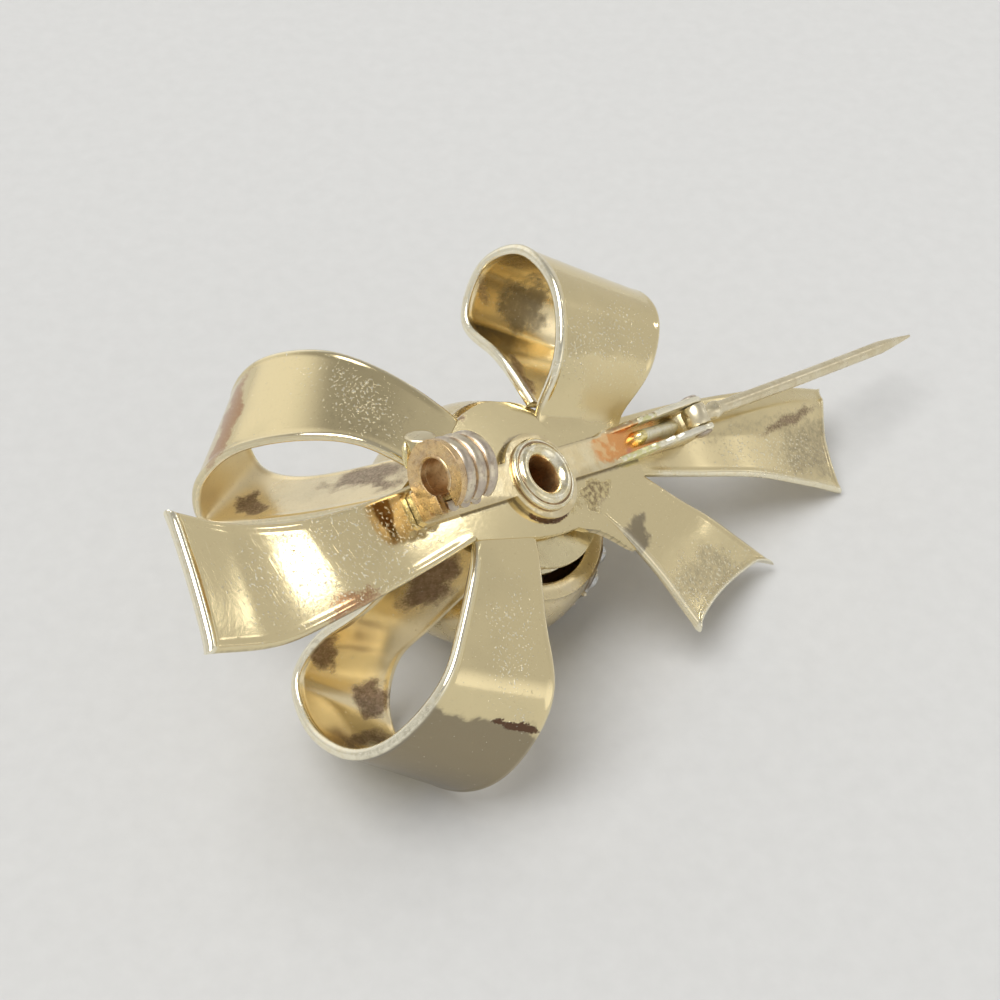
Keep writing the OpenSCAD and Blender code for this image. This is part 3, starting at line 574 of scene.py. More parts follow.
# Materials
class Nodes:
    """Adds nodes to a tree. Each call gives the socket that comes out of its node."""

    def __init__(self, tree):
        self.tree = tree

    def fill(self, node, inputs):
        for key, value in inputs.items():
            if isinstance(value, bpy.types.NodeSocket):
                self.tree.links.new(value, node.inputs[key])
            else:
                node.inputs[key].default_value = value

    def add(self, kind, inputs, out=0, **settings):
        node = self.tree.nodes.new("ShaderNode" + kind)
        for key, value in settings.items():
            setattr(node, key, value)
        self.fill(node, inputs)
        return node.outputs[out]

    def fade(self, value, low, high, to_low=0.0, to_high=1.0):
        inputs = {"Value": value, "From Min": low, "From Max": high, "To Min": to_low, "To Max": to_high}
        return self.add("MapRange", inputs, interpolation_type="SMOOTHSTEP")

    def maths(self, operation, a, b):
        return self.add("Math", {0: a, 1: b}, operation=operation)

    def plus(self, a, b):
        return self.maths("ADD", a, b)

    def times(self, a, b):
        return self.maths("MULTIPLY", a, b)

    def total(self, first, parts):
        """A value with shares of others added to it."""
        for part, share in parts:
            first = self.plus(first, self.times(part, share))
        return first

    def mix(self, share, a, b):
        a, b = ((*tint, 1) if isinstance(tint, tuple) else tint for tint in (a, b))
        return self.add("Mix", {0: share, 6: a, 7: b}, 2, data_type="RGBA")

    def layers(self, colour, parts):
        """A colour with others laid over it."""
        for share, tint in parts:
            colour = self.mix(share, colour, tint)
        return colour

    def vector(self, operation, a, b, out=0):
        return self.add("VectorMath", {0: a, 1: b}, out, operation=operation)

    def grain(self, scale, detail=3.0, roughness=0.55, distortion=0.0, at=None):
        inputs = {"Vector": at or self.coords, "Scale": scale, "Detail": detail, "Roughness": roughness,
                  "Distortion": distortion}
        return self.add("TexNoise", inputs)

    def named(self, name):
        return self.add("Attribute", {}, "Fac", attribute_name=name)

    def dotted(self, field, dots, lift, low, high):
        """A mark, a field or an attribute's name, whose edge breaks up into fine dots."""
        field = self.named(field) if isinstance(field, str) else field
        return self.fade(self.plus(field, self.times(self.maths("SUBTRACT", dots, 0.5), lift)), low, high)

    def surface(self, inputs, height=None, depth=0.0):
        """Sets the shader's inputs, with bumps of a depth in millimetres."""
        if height is not None:
            inputs["Normal"] = self.add("Bump", {"Height": height, "Strength": 1, "Distance": depth * MM})
        self.fill(self.tree.nodes["Principled BSDF"], inputs)


def new_material(name):
    """A material and its nodes, with coordinates in millimetres."""
    material = bpy.data.materials.new(name)
    material.use_nodes = True
    g = Nodes(material.node_tree)
    g.coords = g.vector("MULTIPLY", g.add("TexCoord", {}, "Object"), (1 / MM,) * 3)
    return material, g


PALE_GOLD = (0.8, 0.68, 0.405)
CREAM = (0.95, 0.9, 0.72)
# Painted light: a brighter gold for the loops' inner faces, for the light that the hollows lose
LIT_INSIDE_GOLD = (1, 0.85, 0.54)
BROWN = (0.14, 0.08, 0.05)
PLUM = (0.27, 0.17, 0.13)
RUST = (0.44, 0.2, 0.09)
OLIVE = (0.42, 0.37, 0.23)
UMBER = (0.3, 0.22, 0.12)
RESIDUE = (0.74, 0.62, 0.34)
# DUSK is the tint of the painted shade
DUSK = (0.28, 0.235, 0.16)
COPPER = (0.78, 0.38, 0.14)
AMBER = (0.84, 0.56, 0.28)
SPOT_RED = (0.66, 0.3, 0.17)
SILVER = (0.86, 0.82, 0.69)
CHIP_GREEN = (0.8, 0.78, 0.42)
BAR_GOLD = (0.78, 0.65, 0.39)
BAR_PALE = (0.84, 0.73, 0.48)
NICKEL = (0.58, 0.5, 0.41)
CLEAR = (0.84, 0.84, 0.83)
CLOUDED = (0.64, 0.64, 0.65)
STREAK_SCALE = (9, 0.5, 1)


def sheet_material(name):
    """Gold sheet, with the marks that its pieces' attributes hold, some of them painted shade, and its inner
    faces painted a brighter gold as light.
    """
    material, g = new_material(name)
    cloud = g.grain(0.16, 3, 0.5)
    fine = g.grain(2.4, 5, 0.65)
    dots = g.grain(6, 3, 0.75)
    inner = g.fade(g.named("side"), 0.1, -0.1)
    patina = g.times(inner, g.dotted(g.grain(0.3, 3, 0.6), dots, 0.3, 0.5, 0.66))
    # Painted shade, darkened with DUSK, and a little roughness
    dull_and_shade = g.dotted("dull_and_shade", fine, 0.8, 0.15, 0.85)
    blush = g.dotted("blush", dots, 2.2, 0.2, 1)
    stain = g.dotted("stain", dots, 1.5, 0.1, 1.25)
    residue = g.dotted("residue", fine, 2.4, 0.4, 0.7)
    # Painted shadow lines in brown, with small dents
    shade_and_pits = g.dotted("shade_and_pits", dots, 1.6, 0.55, 0.8)
    specks = g.fade(g.plus(g.grain(4.5, 2, 0.6), g.times(g.named("specks"), 0.13)), 0.7, 0.76)
    lie = g.add("CombineXYZ", {0: g.named("along"), 1: g.named("across")})
    streaks = g.fade(g.grain(1, 2, 0.5, at=g.vector("MULTIPLY", lie, STREAK_SCALE)), 0.62, 0.75)
    lip = g.times(g.fade(g.named("edge"), 0.55, 0.15), g.fade(g.named("rolled"), 0.1, 0.7))
    rim = g.times(g.fade(g.named("edge"), 0.12, 0.02), g.fade(g.named("rolled"), 0.5, 0.1))
    colour = g.layers(PALE_GOLD, (
        # Painted light: the inner faces take a brighter gold
        (inner, LIT_INSIDE_GOLD),
        (g.fade(cloud, 0.45, 0.7, 0, 0.16), OLIVE),
        (g.times(patina, 0.1), OLIVE),
        (g.times(dull_and_shade, 0.9), DUSK),
        (g.times(blush, 0.8), RUST),
        (g.times(stain, 0.85), g.mix(g.fade(fine, 0.4, 0.6), BROWN, PLUM)),
        (residue, g.mix(g.fade(fine, 0.36, 0.6), UMBER, RESIDUE)),
        (shade_and_pits, BROWN),
        (g.times(specks, 0.75), CREAM),
        (g.times(streaks, 0.05), CREAM),
        (g.times(lip, g.fade(fine, 0.25, 0.6, 0.5, 1)), CREAM),
        (g.times(rim, g.fade(fine, 0.4, 0.6, 0.2, 0.8)), OLIVE),
    ))
    rough = g.total(g.fade(cloud, 0.3, 0.7, 0.085, 0.115), (
        (stain, 0.2), (inner, 0.12), (dull_and_shade, 0.08), (g.named("matt"), 0.22), (specks, 0.14)))
    height = g.total(g.times(fine, 0.1), ((specks, 0.7), (residue, 0.6), (streaks, 0.04), (shade_and_pits, -1.2)))
    g.surface({"Base Color": colour, "Metallic": 1, "Roughness": rough}, height, 0.03)
    return material


def metal(name, colour, worn, stain, rough, scale, stained, depth=0.02):
    """Plated metal: its colour, that of worn places and of stains, roughness, scale, share and bumps."""
    material, g = new_material(name)
    fine = g.grain(2.2 * scale, 5, 0.65)
    cloud = g.grain(0.7 * scale, 4, 0.6, 0.4)
    made_of = g.layers(colour, (
        (g.fade(cloud, 0.42, 0.62), worn), (g.times(g.fade(fine, 0.5, 0.7), stained), stain)))
    roughness = g.fade(fine, 0.3, 0.75, rough, rough + 0.16)
    g.surface({"Base Color": made_of, "Metallic": 1, "Roughness": roughness}, fine, depth)
    return material


def bar_material(name):
    """The bar's gold, which turns to copper, silver and greenish residue where the tints say."""
    material, g = new_material(name)
    fine = g.grain(2.6, 5, 0.65)
    cloud = g.grain(0.6, 4, 0.6)
    silver = g.dotted("silver", fine, 0.7, 0.2, 0.8)
    green = g.dotted("green", fine, 1.4, 0.25, 0.75)
    colour = g.layers(BAR_GOLD, (
        (g.fade(cloud, 0.4, 0.65), BAR_PALE),
        (g.fade(fine, 0.5, 0.75, 0, 0.35), OLIVE),
        (g.dotted("copper", fine, 0.9, 0.15, 0.85), g.mix(g.fade(cloud, 0.5, 0.62), COPPER, AMBER)),
        (g.dotted("red", fine, 0.6, 0.3, 0.9), SPOT_RED),
        (silver, g.mix(g.fade(cloud, 0.45, 0.6), SILVER, CREAM)),
        (green, g.mix(g.fade(fine, 0.45, 0.6), CHIP_GREEN, CREAM)),
    ))
    rough = g.fade(g.plus(fine, g.maths("MAXIMUM", green, silver)), 0.3, 1.2, 0.18, 0.42)
    rugged = g.times(fine, g.plus(g.plus(green, silver), 0.15))
    g.surface({"Base Color": colour, "Metallic": 1, "Roughness": rough}, rugged, 0.05)
    return material


def glass_material(name):
    material, g = new_material(name)
    cloud = g.grain(0.8)
    g.surface({"Base Color": g.mix(cloud, CLEAR, CLOUDED), "Roughness": g.fade(cloud, 0.3, 0.7, 0.02, 0.06),
               "IOR": 1.6, "Transmission Weight": 0.5, "Metallic": 0.5})
    return material


SHEET = sheet_material("sheet_gold")
BAR = bar_material("bar_gold")
STONE = glass_material("stone_glass")
FLANGE = metal("flange_orange", (0.8, 0.58, 0.3), (0.64, 0.47, 0.28), (0.45, 0.28, 0.14), 0.24, 1.4, 0.7)
RIVET = metal("rivet_gold", (0.82, 0.73, 0.48), CREAM, (0.55, 0.42, 0.22), 0.16, 1.2, 0.35, 0.01)
BORE = metal("bore_copper", (0.62, 0.4, 0.19), (0.5, 0.3, 0.13), BROWN, 0.35, 2, 0.5)
STEM = metal("stem_gold", (0.76, 0.67, 0.46), (0.82, 0.74, 0.54), (0.56, 0.46, 0.29), 0.26, 0.7, 0.4, 0.003)
FITTING = metal("fitting_nickel", NICKEL, (0.74, 0.66, 0.5), (0.36, 0.27, 0.19), 0.28, 1.1, 0.6, 0.01)
# Painted shade: dark brown for the sleeve's grooves and for the rivet's groove and foot
GROOVE_SHADE = metal("groove_shade_brown", (0.42, 0.3, 0.2), (0.6, 0.42, 0.22), BROWN, 0.35, 1.4, 0.6)
EARS = metal("ear_nickel", (0.88, 0.85, 0.72), (0.84, 0.79, 0.58), (0.6, 0.5, 0.32), 0.42, 1.6, 0.5, 0.04)
BEAD = metal("bead_yellow", (0.88, 0.76, 0.38), (0.9, 0.8, 0.5), (0.6, 0.42, 0.16), 0.2, 2, 0.4)
# Painted reflection: the band's side is tinted pink for the floor that it mirrors
BAND_REFLECTED_PINK = metal("band_reflected_pink", (0.7, 0.56, 0.4), (0.62, 0.46, 0.34), (0.38, 0.27, 0.17), 0.26, 1, 0.6)
PLATE = metal("plate_gold", (0.78, 0.68, 0.42), (0.72, 0.62, 0.38), (0.62, 0.52, 0.3), 0.17, 0.5, 0.3, 0.006)
KNOT = metal("knot_gold", (0.78, 0.66, 0.4), (0.8, 0.68, 0.44), (0.5, 0.38, 0.22), 0.16, 0.8, 0.2, 0.003)
RIM = metal("rim_brown", (0.78, 0.56, 0.36), (0.8, 0.6, 0.38), (0.3, 0.16, 0.1), 0.3, 1.2, 0.6)


# Pieces. The web lies between the hub's lower edge and the lower tail, and bends down with the tail.
WEB = np.array([(2.7, -4.85), (3.3, -5.0), (3.9, -5.25), (4.5, -5.62), (5.05, -6.05), (5.55, -6.5),
                (6.05, -6.98), (6.5, -7.34), (6.92, -7.56)])
WEB_DROP, WEB_THINNING = 0.1, 0.6
# How far the outline keeps from the web's ends, and how many of the tail's points it skips
WEB_GAP, WEB_FAR_GAP, TAIL_SKIP = 0.4, 0.1, 3
HUB_GRID, BAR_GRID = 0.22, 0.8
# The hole around the rivet's tube, in the hub, the bar and the plate's sleeve
HOLE_R = TUBE_R + 0.02
# Painted shadow along the lower edge of the bar's eye, and painted shade where the bar lies on the hub
EYE_SHADOW_ARC, EYE_SHADOW_BAND = (-135, -62, 12), (EYE_R - 0.2, EYE_R + 0.28, 0.3)
CONTACT_SHADE, CONTACT_BAND, CONTACT_IN = 0.9, (-0.4, 0.2, 0.3), -0.5


def make_hub():
    c = CORNER
    tail_side = ribbon_grid("tail_lower", TAIL_RINGS)[0][:, -1, :2]
    side = [p for p in tail_side[2:] if p[1] > WEB[-1][1] + WEB_FAR_GAP][::TAIL_SKIP]
    upper = bulged(c["top_left"], c["top_right"], TOP_BULGE)
    lower = [p for p in bulged(c["low_right"], c["low_left"], LOW_BULGE) if p[0] < WEB[0][0] - WEB_GAP]
    outline = [c["left_up"], c["top_left"], *upper, c["top_right"], c["right_up"], c["right_low"],
               c["low_right"], *side, *WEB[::-1], *lower, c["low_left"], c["left_low"]]
    points, faces = plate(outline, -SHEET_TOP, SHEET_TOP, HOLE_R, HUB_GRID)
    out = np.clip((WEB[0][1] - points[:, 1]) / (WEB[0][1] - WEB[-1][1]), 0, 1) * (points[:, 0] > WEB[0][0])
    points[:, 2] = points[:, 2] * (1 - WEB_THINNING * out**2) - WEB_DROP * out**1.5
    obj = mesh_object("hub_sheet", points, faces, "brooch", ("hub_plate",), [SHEET])
    x, y, z = points.T
    sides = np.sign(z)
    free = np.array([*upper, *lower, *WEB])
    near = np.linalg.norm(points[:, None, :2] - free[None], axis=2).min(1)
    found = mark_strengths("hub_plate", points, sides)
    # Painted shadow under the lower edge of the bar's eye
    eye_shadow = window(np.hypot(x, y), *EYE_SHADOW_BAND) * window(np.degrees(np.arctan2(y, x)), *EYE_SHADOW_ARC)
    found["shade_and_pits"] = np.maximum(found["shade_and_pits"], eye_shadow * (z > 0))
    # Painted shade on the hub along the bar's edges
    beside = np.abs(y - BAR_SIDE) - BAR_W / 2
    round_eye = np.hypot(x, y) - EYE_R
    contact_shade = window(np.minimum(beside, round_eye), *CONTACT_BAND)
    contact_shade *= CONTACT_SHADE * (np.maximum(beside, round_eye) > CONTACT_IN) * (z > 0)
    found["dull_and_shade"] = np.maximum(found["dull_and_shade"], contact_shade)
    attributes(obj, {"side": sides, "edge": np.clip(near, 0, 2), **found})


# A hinge ear rises over a first share of its length to a shoulder and then to its crest
EAR_KNEE, EAR_SHOULDER, EAR_CREST = 0.45, 0.75, 0.8
EAR_UNDER, EAR_UNDER_H, EAR_LOW, EAR_THIN, EAR_RIM = 0.4, 1.4, 0.05, 0.2, 0.16
EAR_WAVES = {1: 0.16, -1: 0.34}
# How far before the hinge an ear is level, the angles of its round end, the scale, row and height
# of the noise in its top edge and in its sway, and how much the sway moves and thickens it
EAR_LEVEL, EAR_TURN, EAR_NOISE = 1, (0.15, 1.5, 8), ((1.7, 5, 0), (2.6, 9, 4))
EAR_SWAY, EAR_MOVE, EAR_THICKEN = 0.5, 0.3, 0.25
# The bar's tints, as windows of start, end and softness along it, across it and upwards
TINT_X = {
    "copper": (6.6, 14.5, 2), "copper_ear": (8.6, 11.4, 0.8), "red": (9.9, 10.9, 0.6),
    "silver_upper": (13.4, 30, 0.6), "silver_lower": (12.3, 30, 0.5),
    "green_upper": (11.6, 13.4, 0.5), "green_lower": (9.0, 12.6, 0.5),
}
FLOOR_Y, FLOOR_Z, SILVER_Z = (-1, 1, 0.15), (0, 2.3, 0.3), (1, 9, 0.3)
RED_Y, RED_Z = (-1.1, 0, 0.3), (0, 1.2, 0.3)
EAR_Y, INNER_Y, COPPER_EAR, GREEN_EAR = 0.9, 0.12, 0.45, 0.8
TONGUE_SINK, TONGUE_TIP, TONGUE_GAP = 0.35, 1.1, 0.15
# The bar's flare up to the ears, and how it ends before the catch
BAR_FLARE, BAR_CHAMFER, BAR_SHORT = 0.8, 0.3, 0.1


def half_turn(count):
    return np.linspace(0, math.pi, count)


def ear_strip(side, wave):
    """A hinge ear: a strip that rises from the bar, with a worn top edge."""
    ahead = HINGE_X + EAR_ROUND * np.sin(np.linspace(*EAR_TURN))
    xs = np.concatenate([np.linspace(EAR_FROM, HINGE_X, 40), ahead])
    knee = EAR_FROM + EAR_KNEE * (HINGE_X - EAR_FROM)
    shoulder, crest = EAR_SHOULDER * HINGE_H, EAR_CREST * EAR_ROUND
    rise = eased((xs - EAR_FROM) / (knee - EAR_FROM))
    far = np.clip((xs - knee) / (HINGE_X - EAR_LEVEL - knee), 0, 1)
    tip = np.clip((xs - HINGE_X) / EAR_ROUND, 0, 1)
    top = BAR_TOP + shoulder * rise + far * (HINGE_Z + crest - BAR_TOP - shoulder)
    top = np.where(xs > HINGE_X, HINGE_Z + crest * np.sqrt(1 - tip**2), top)
    under = HINGE_Z - EAR_ROUND * (EAR_UNDER_H - tip)
    low = np.where(xs > HINGE_X + EAR_UNDER * EAR_ROUND, under, SHEET_TOP + EAR_LOW)
    low = np.minimum(low, top - EAR_THIN)
    rag, sway = (np.array([noise.noise(Vector((x * scale, side * row, lift))) for x in xs])
                 for scale, row, lift in EAR_NOISE)
    top = top + wave * rag * rise
    shift = side * EAR_SWAY * wave * sway * rise
    rows = []
    for x, z_low, z_top, s in zip(xs, low, top, shift):
        middle = HINGE_SIDE + side * (HINGE_W - EAR_T) / 2 + s * EAR_MOVE
        half = EAR_T / 2 + abs(s) * EAR_THICKEN
        rim = [(x, middle + y, z_top - EAR_RIM + z) for y, z in arc(half_turn(7), half, EAR_RIM)]
        rows.append([(x, middle + half, z_low), *rim, (x, middle - half, z_low)])
    return loft(rows)


def capsule(length, width, height):
    """A long rounded pillow that lies along X on z = 0, from x = 0."""
    rows = []
    for a in half_turn(29):
        x = length / 2 * (1 - math.cos(a))
        end = min(x, length - x)
        share = max(0.02, math.sqrt(1 - max(0, 1 - 2 * end / width) ** 2))
        rows.append([(x, y, z) for y, z in arc(half_turn(13), width / 2 * share, height * share**0.7)])
    return loft(rows)


def make_bar():
    half, wide = BAR_W / 2, HINGE_W / 2
    near = FLANGE_X - RUN - FLANGE_T - BAR_SHORT
    inward, flare = near + BAR_CHAMFER, EAR_FROM - BAR_FLARE
    low, high = BAR_SIDE - half, BAR_SIDE + half
    low_a, high_a = (math.asin((BAR_SIDE + side * half) / EYE_R) for side in (-1, 1))
    outline = [(flare, low), (EAR_FROM, HINGE_SIDE - wide), (HINGE_X, HINGE_SIDE - wide),
               (HINGE_X, HINGE_SIDE + wide), (EAR_FROM, HINGE_SIDE + wide), (flare, high),
               *arc(np.linspace(high_a, math.pi - high_a, 30), EYE_R), (inward, high),
               (near, high - BAR_CHAMFER), (near, low + BAR_CHAMFER), (inward, low),
               *arc(np.linspace(math.pi - low_a, math.tau + low_a, 34), EYE_R)]
    parts = [(*plate(outline, SHEET_TOP, BAR_TOP, HOLE_R, BAR_GRID), 0)]
    parts += [(*ear_strip(side, wave), 0) for side, wave in EAR_WAVES.items()]
    points, faces = capsule(TONGUE_L - TONGUE_GAP, TONGUE_W, TONGUE_H + TONGUE_SINK)
    numbers = [2 if points[list(f), 0].mean() < TONGUE_TIP else 1 for f in faces]
    tongue_at = (HINGE_X - HEEL_R - RUN - TONGUE_L, HINGE_SIDE, BAR_TOP - TONGUE_SINK)
    parts.append((points + tongue_at, faces, numbers))
    obj = fused("pin_bar_metal", parts, "brooch", ("pin_bar",), [BAR, EARS, BEAD], 0.07)
    at = np.empty(3 * len(obj.data.vertices))
    obj.data.vertices.foreach_get("co", at)
    x, y, z = ((at.reshape(-1, 3) - RIVET_AT) / MM @ TURN).T
    y = y - HINGE_SIDE
    along = {name: window(x, *span) for name, span in TINT_X.items()}
    upper, lower = y > EAR_Y, y < -EAR_Y
    inner = upper * (y < HINGE_W / 2 - INNER_Y)
    floor_share = window(y, *FLOOR_Y) * window(z, *FLOOR_Z)
    silver = np.maximum(upper * along["silver_upper"], lower * along["silver_lower"])
    attributes(obj, {
        "copper": np.maximum(along["copper"] * floor_share, COPPER_EAR * inner * along["copper_ear"]),
        "red": along["red"] * window(y, *RED_Y) * window(z, *RED_Z),
        "silver": silver * window(z, *SILVER_Z),
        "green": np.maximum(lower * along["green_lower"], GREEN_EAR * inner * along["green_upper"]),
    })


# The domed head of the hinge's pin: shares of its radius, and heights
HEAD = ((0.45, 0.02), (0.8, -0.05), (1, -0.14))


def make_hinge_pin():
    dome = [(share * HEAD_R, z) for share, z in HEAD]
    end = [(AXIS_R, HEAD[0][1]), *dome, (HEAD_R, -HEAD_T), (HINGE_R, -HEAD_T)]
    points, faces = revolve(mirrored(end, HINGE_W / 2 + HEAD_T), 40)
    parts = [(points[:, [0, 2, 1]] + HINGE_AT, faces, 0)]
    fused("hinge_rod", parts, "brooch", ("hinge_pin",), [FITTING])


# The edge of the pin's eye, by its distance out and its height
EYE_EDGE = ((-0.3, 0), (-0.12, -0.07), (0, -0.32))
# The neck's start, as a share of the eye's radius, and how much slimmer than the collar it is
NECK_START, NECK_IN = 0.82, 0.12
# The collar, by its distance out and the share of its length that is left, and its run-out
COLLAR, COLLAR_OUT = ((-0.16, 1), (-0.02, 0.75), (0, 0.45), (-0.06, 0.12)), 0.12
# The wire's bow, then the width that its point loses, how sharply, and its rounded tip
WIRE_BOW, POINT_TAPER, POINT_SHARP, POINT_TIP, TIP_R, TIP_L = 0.05, 0.8, 1.15, 0.12, 0.12, 0.04


def make_stem():
    """The pin: an eye with its bore on the hinge, a neck with a collar, the wire and its point."""
    eye = [(HINGE_R + RUN, 0), *[(HEEL_R + r, z) for r, z in EYE_EDGE]]
    points, faces = revolve(mirrored(eye, HINGE_W / 2 - EAR_T - RUN), 56)
    parts = [(points[:, [0, 2, 1]], faces, 0)]
    start, cone = NECK_START * HEEL_R, STEM_L - POINT_L
    profile = [(AXIS_R, start), (COLLAR_R - NECK_IN, start)]
    profile += [(COLLAR_R + r, COLLAR_X - share * COLLAR_L) for r, share in COLLAR]
    profile.append((STEM_R, COLLAR_X + COLLAR_OUT))
    profile += [(STEM_R, x) for x in np.linspace(COLLAR_X + 0.6, cone, 24)]
    profile += [(STEM_R * (1 - POINT_TAPER * s**POINT_SHARP), cone + s * (POINT_L - POINT_TIP))
                for s in np.linspace(0.1, 1, 12)]
    profile += [(TIP_R * STEM_R, STEM_L - TIP_L), (AXIS_R, STEM_L)]
    points, faces = revolve(profile, 40)
    wire = points[:, [2, 1, 0]]
    wire[:, 1] -= WIRE_BOW * np.sin(np.pi * np.clip((points[:, 2] - COLLAR_X) / (STEM_L - COLLAR_X), 0, 1))
    parts.append((spun(wire, math.asin(STEM_SET / STEM_L), 0, 1), faces, 0))
    parts = [(spun(points, math.radians(STEM_OPEN), 0, 2) + HINGE_AT, faces, 0) for points, faces, _ in parts]
    fused("pin_wire", parts, "pin", ("pin_stem",), [STEM])


# The bead around the catch's bore, by its distance out from the bore and its height
BORE_BEAD = ((0.02, 0.03), (0.06, -0.07), (0.15, -0.1), (0.24, -0.07), (0.3, 0.03))
FOOT_UP, BEAD_ARC = -1.9, (-60, 150)
# How deep the tube and the foot sit in the flange, and the skin of the bore's own metal
TUBE_IN, FOOT_IN, BORE_SKIN = 0.05, 0.02, 0.05


def on_catch(points, x):
    """From (side, up, along) to the brooch's frame, with the catch's axis."""
    return points[:, [2, 0, 1]] + (x, CATCH_Y, CATCH_Z)


def make_catch_tube():
    """The tube and its flange, cut open to one side, with a bead around the bore and a foot on the bar."""
    face = FLANGE_X - FLANGE_T
    parts = []
    for outer, low, high, number in (
            (SLEEVE_R, 0, FLANGE_T, 0),
            (CATCH_BORE_R + CATCH_WALL, FLANGE_T - TUBE_IN, FLANGE_T + SLEEVE_L + 2 * RUN, 1)):
        a, b = (math.asin(MOUTH_W / 2 / radius) for radius in (outer, CATCH_BORE_R))
        ring = arc(np.linspace(math.pi - a, a - math.pi, 72), outer)
        ring += arc(np.linspace(b - math.pi, math.pi - b, 72), CATCH_BORE_R)
        points, faces = plate(ring, low, high)
        out = [np.hypot(*points[list(f), :2].mean(0)) for f in faces]
        parts.append((points, faces, [2 if r < CATCH_BORE_R + BORE_SKIN else number for r in out]))
    left, right = (BAR_SIDE - CATCH_Y + side * FOOT_W / 2 for side in (-1, 1))
    floor = -CATCH_H - FOOT_IN
    foot = [(left, floor), (right, floor), (right, FOOT_UP), (left, FOOT_UP)]
    parts.append((*plate(foot, FOOT_IN, FLANGE_T - FOOT_IN), 0))
    parts.append((*revolve([(CATCH_BORE_R + r, z) for r, z in BORE_BEAD], 40, *BEAD_ARC), 1))
    parts = [(on_catch(points, face), faces, numbers) for points, faces, numbers in parts]
    fused("catch_tube_metal", parts, "brooch", ("catch_tube",), [FLANGE, RIVET, BORE], 0.1, 3)


RIDGES, RIDGE_H, GROOVE_IN = 3, 0.42, 0.18
# The thumb tab, a pale lens on a short neck with a gold lobe beside it: each ball's middle, half
# sizes, the way that it faces, and its material's number
TAB = (
    ((-12.25, 4.5, 3.5), (1.08, 0.9, 0.2), (-0.13, 0.74, 0.66), 2),
    ((-11.85, 3.95, 3.3), (0.6, 0.5, 0.55), (0, 1, 0), 2),
    ((-12.4, 3.95, 1.7), (0.32, 1.0, 0.36), (-1, 0, 0.2), 3),
    ((-12.0, 3.7, 2.6), (0.45, 0.7, 0.4), (-1, 0, 0.2), 3),
)


def make_catch_sleeve():
    inner = CATCH_BORE_R + CATCH_WALL + RUN
    profile = [(SLEEVE_R - RIDGE_H * (1 - math.sqrt(1 - (2 * s - 1) ** 2)), (k + s) * SLEEVE_L / RIDGES)
               for k in range(RIDGES) for s in np.linspace(0.03, 0.97, 13)]
    gap = math.degrees(math.asin(MOUTH_W / 2 / SLEEVE_R))
    points, faces = revolve([(inner, 0), *profile, (inner, SLEEVE_L)], 110, 180 + gap, 540 - gap)
    radius = np.hypot(points[:, 0], points[:, 1])
    # Faces deep in the grooves take the painted shade
    numbers = [int(len(f) == 4 and radius[list(f)].mean() < SLEEVE_R - GROOVE_IN) for f in faces]
    parts = [(on_catch(points, -CATCH_X - SLEEVE_L), faces, numbers)]
    for middle, halves, normal, number in TAB:
        points, faces = ball(1, 3)
        axis = unit(normal)
        tall = unit(VIEW[1] - axis * (VIEW[1] @ axis))
        parts.append(((points * halves) @ np.stack([np.cross(tall, axis), tall, axis]) + middle, faces, number))
    fused("catch_sleeve_metal", parts, "sleeve", ("catch_sleeve",), [FITTING, GROOVE_SHADE, STEM, BEAD])


# The rivet's roll from its foot on the bar to its bore, by radius and height over the bar
ROLL = ((RIVET_R, 0), (2.87, 0.12), (2.86, 0.26), (2.8, 0.38), (2.68, 0.45), (2.56, 0.44), (2.47, 0.4),
        (2.42, 0.44), (2.38, 0.55), (2.28, 0.67), (2.14, 0.74), (1.98, 0.75), (1.82, 0.7), (1.66, 0.58),
        (1.52, 0.4), (1.42, 0.18), (1.34, -0.1), (1.28, -0.5), (1.25, -0.9))
RIVET_LOW, RIVET_COLLAR = 0.2, 0.9
# Where the roll's groove, its foot and its bore are: radii and heights over the bar
ROLL_GROOVE, ROLL_GROOVE_Z, ROLL_FOOT, ROLL_BORE = (2.42, 2.54), 0.3, (2.83, 0.1), (1.4, 0.2)


def make_rivet():
    out = TUBE_R + RIVET_COLLAR
    low = BAND_LOW + RIVET_LOW
    profile = [(RIVET_BORE_R, low), (TUBE_R, low), (TUBE_R, PLATE_TOP), (out, PLATE_TOP), (out, -SHEET_TOP),
               (TUBE_R, -SHEET_TOP), (TUBE_R, BAR_TOP), *[(r, BAR_TOP + z) for r, z in ROLL]]
    points, faces = revolve(profile, 128)
    numbers = []
    for f in faces:
        r = np.hypot(points[list(f), 0], points[list(f), 1]).mean()
        z = points[list(f), 2].mean() - BAR_TOP
        groove = ROLL_GROOVE[0] < r < ROLL_GROOVE[1] and z > ROLL_GROOVE_Z
        foot = r > ROLL_FOOT[0] and z < ROLL_FOOT[1]
        # The roll's groove and foot take the painted shade
        numbers.append(1 if r < ROLL_BORE[0] and z < ROLL_BORE[1] else 2 if groove or foot else 0)
    fused("rivet_metal", [(points, faces, numbers)], "brooch", ("rivet",), [RIVET, BORE, GROOVE_SHADE])


# The plate's rounded edge and the foot of its band, by their distance out and their height
PLATE_EDGE = ((-0.16, 0), (-0.04, -0.06), (0, -0.18), (0, -0.42), (-0.08, -0.56))
BAND_FOOT = ((-0.03, 0.6), (0, 0.42), (BAND_LIP - 0.06, 0.34), (BAND_LIP, 0.18), (BAND_LIP - 0.08, 0.03),
             (0.1, 0), (-BAND_WALL, 0))
# The plate's hole and the flange of its sleeve, out from the tube, and how far down the plate's
# gold goes and how far up the lip's
PLATE_HOLE, SLEEVE_FLANGE, PLATE_GOLD, LIP_GOLD = 0.25, 0.85, 0.58, 0.5


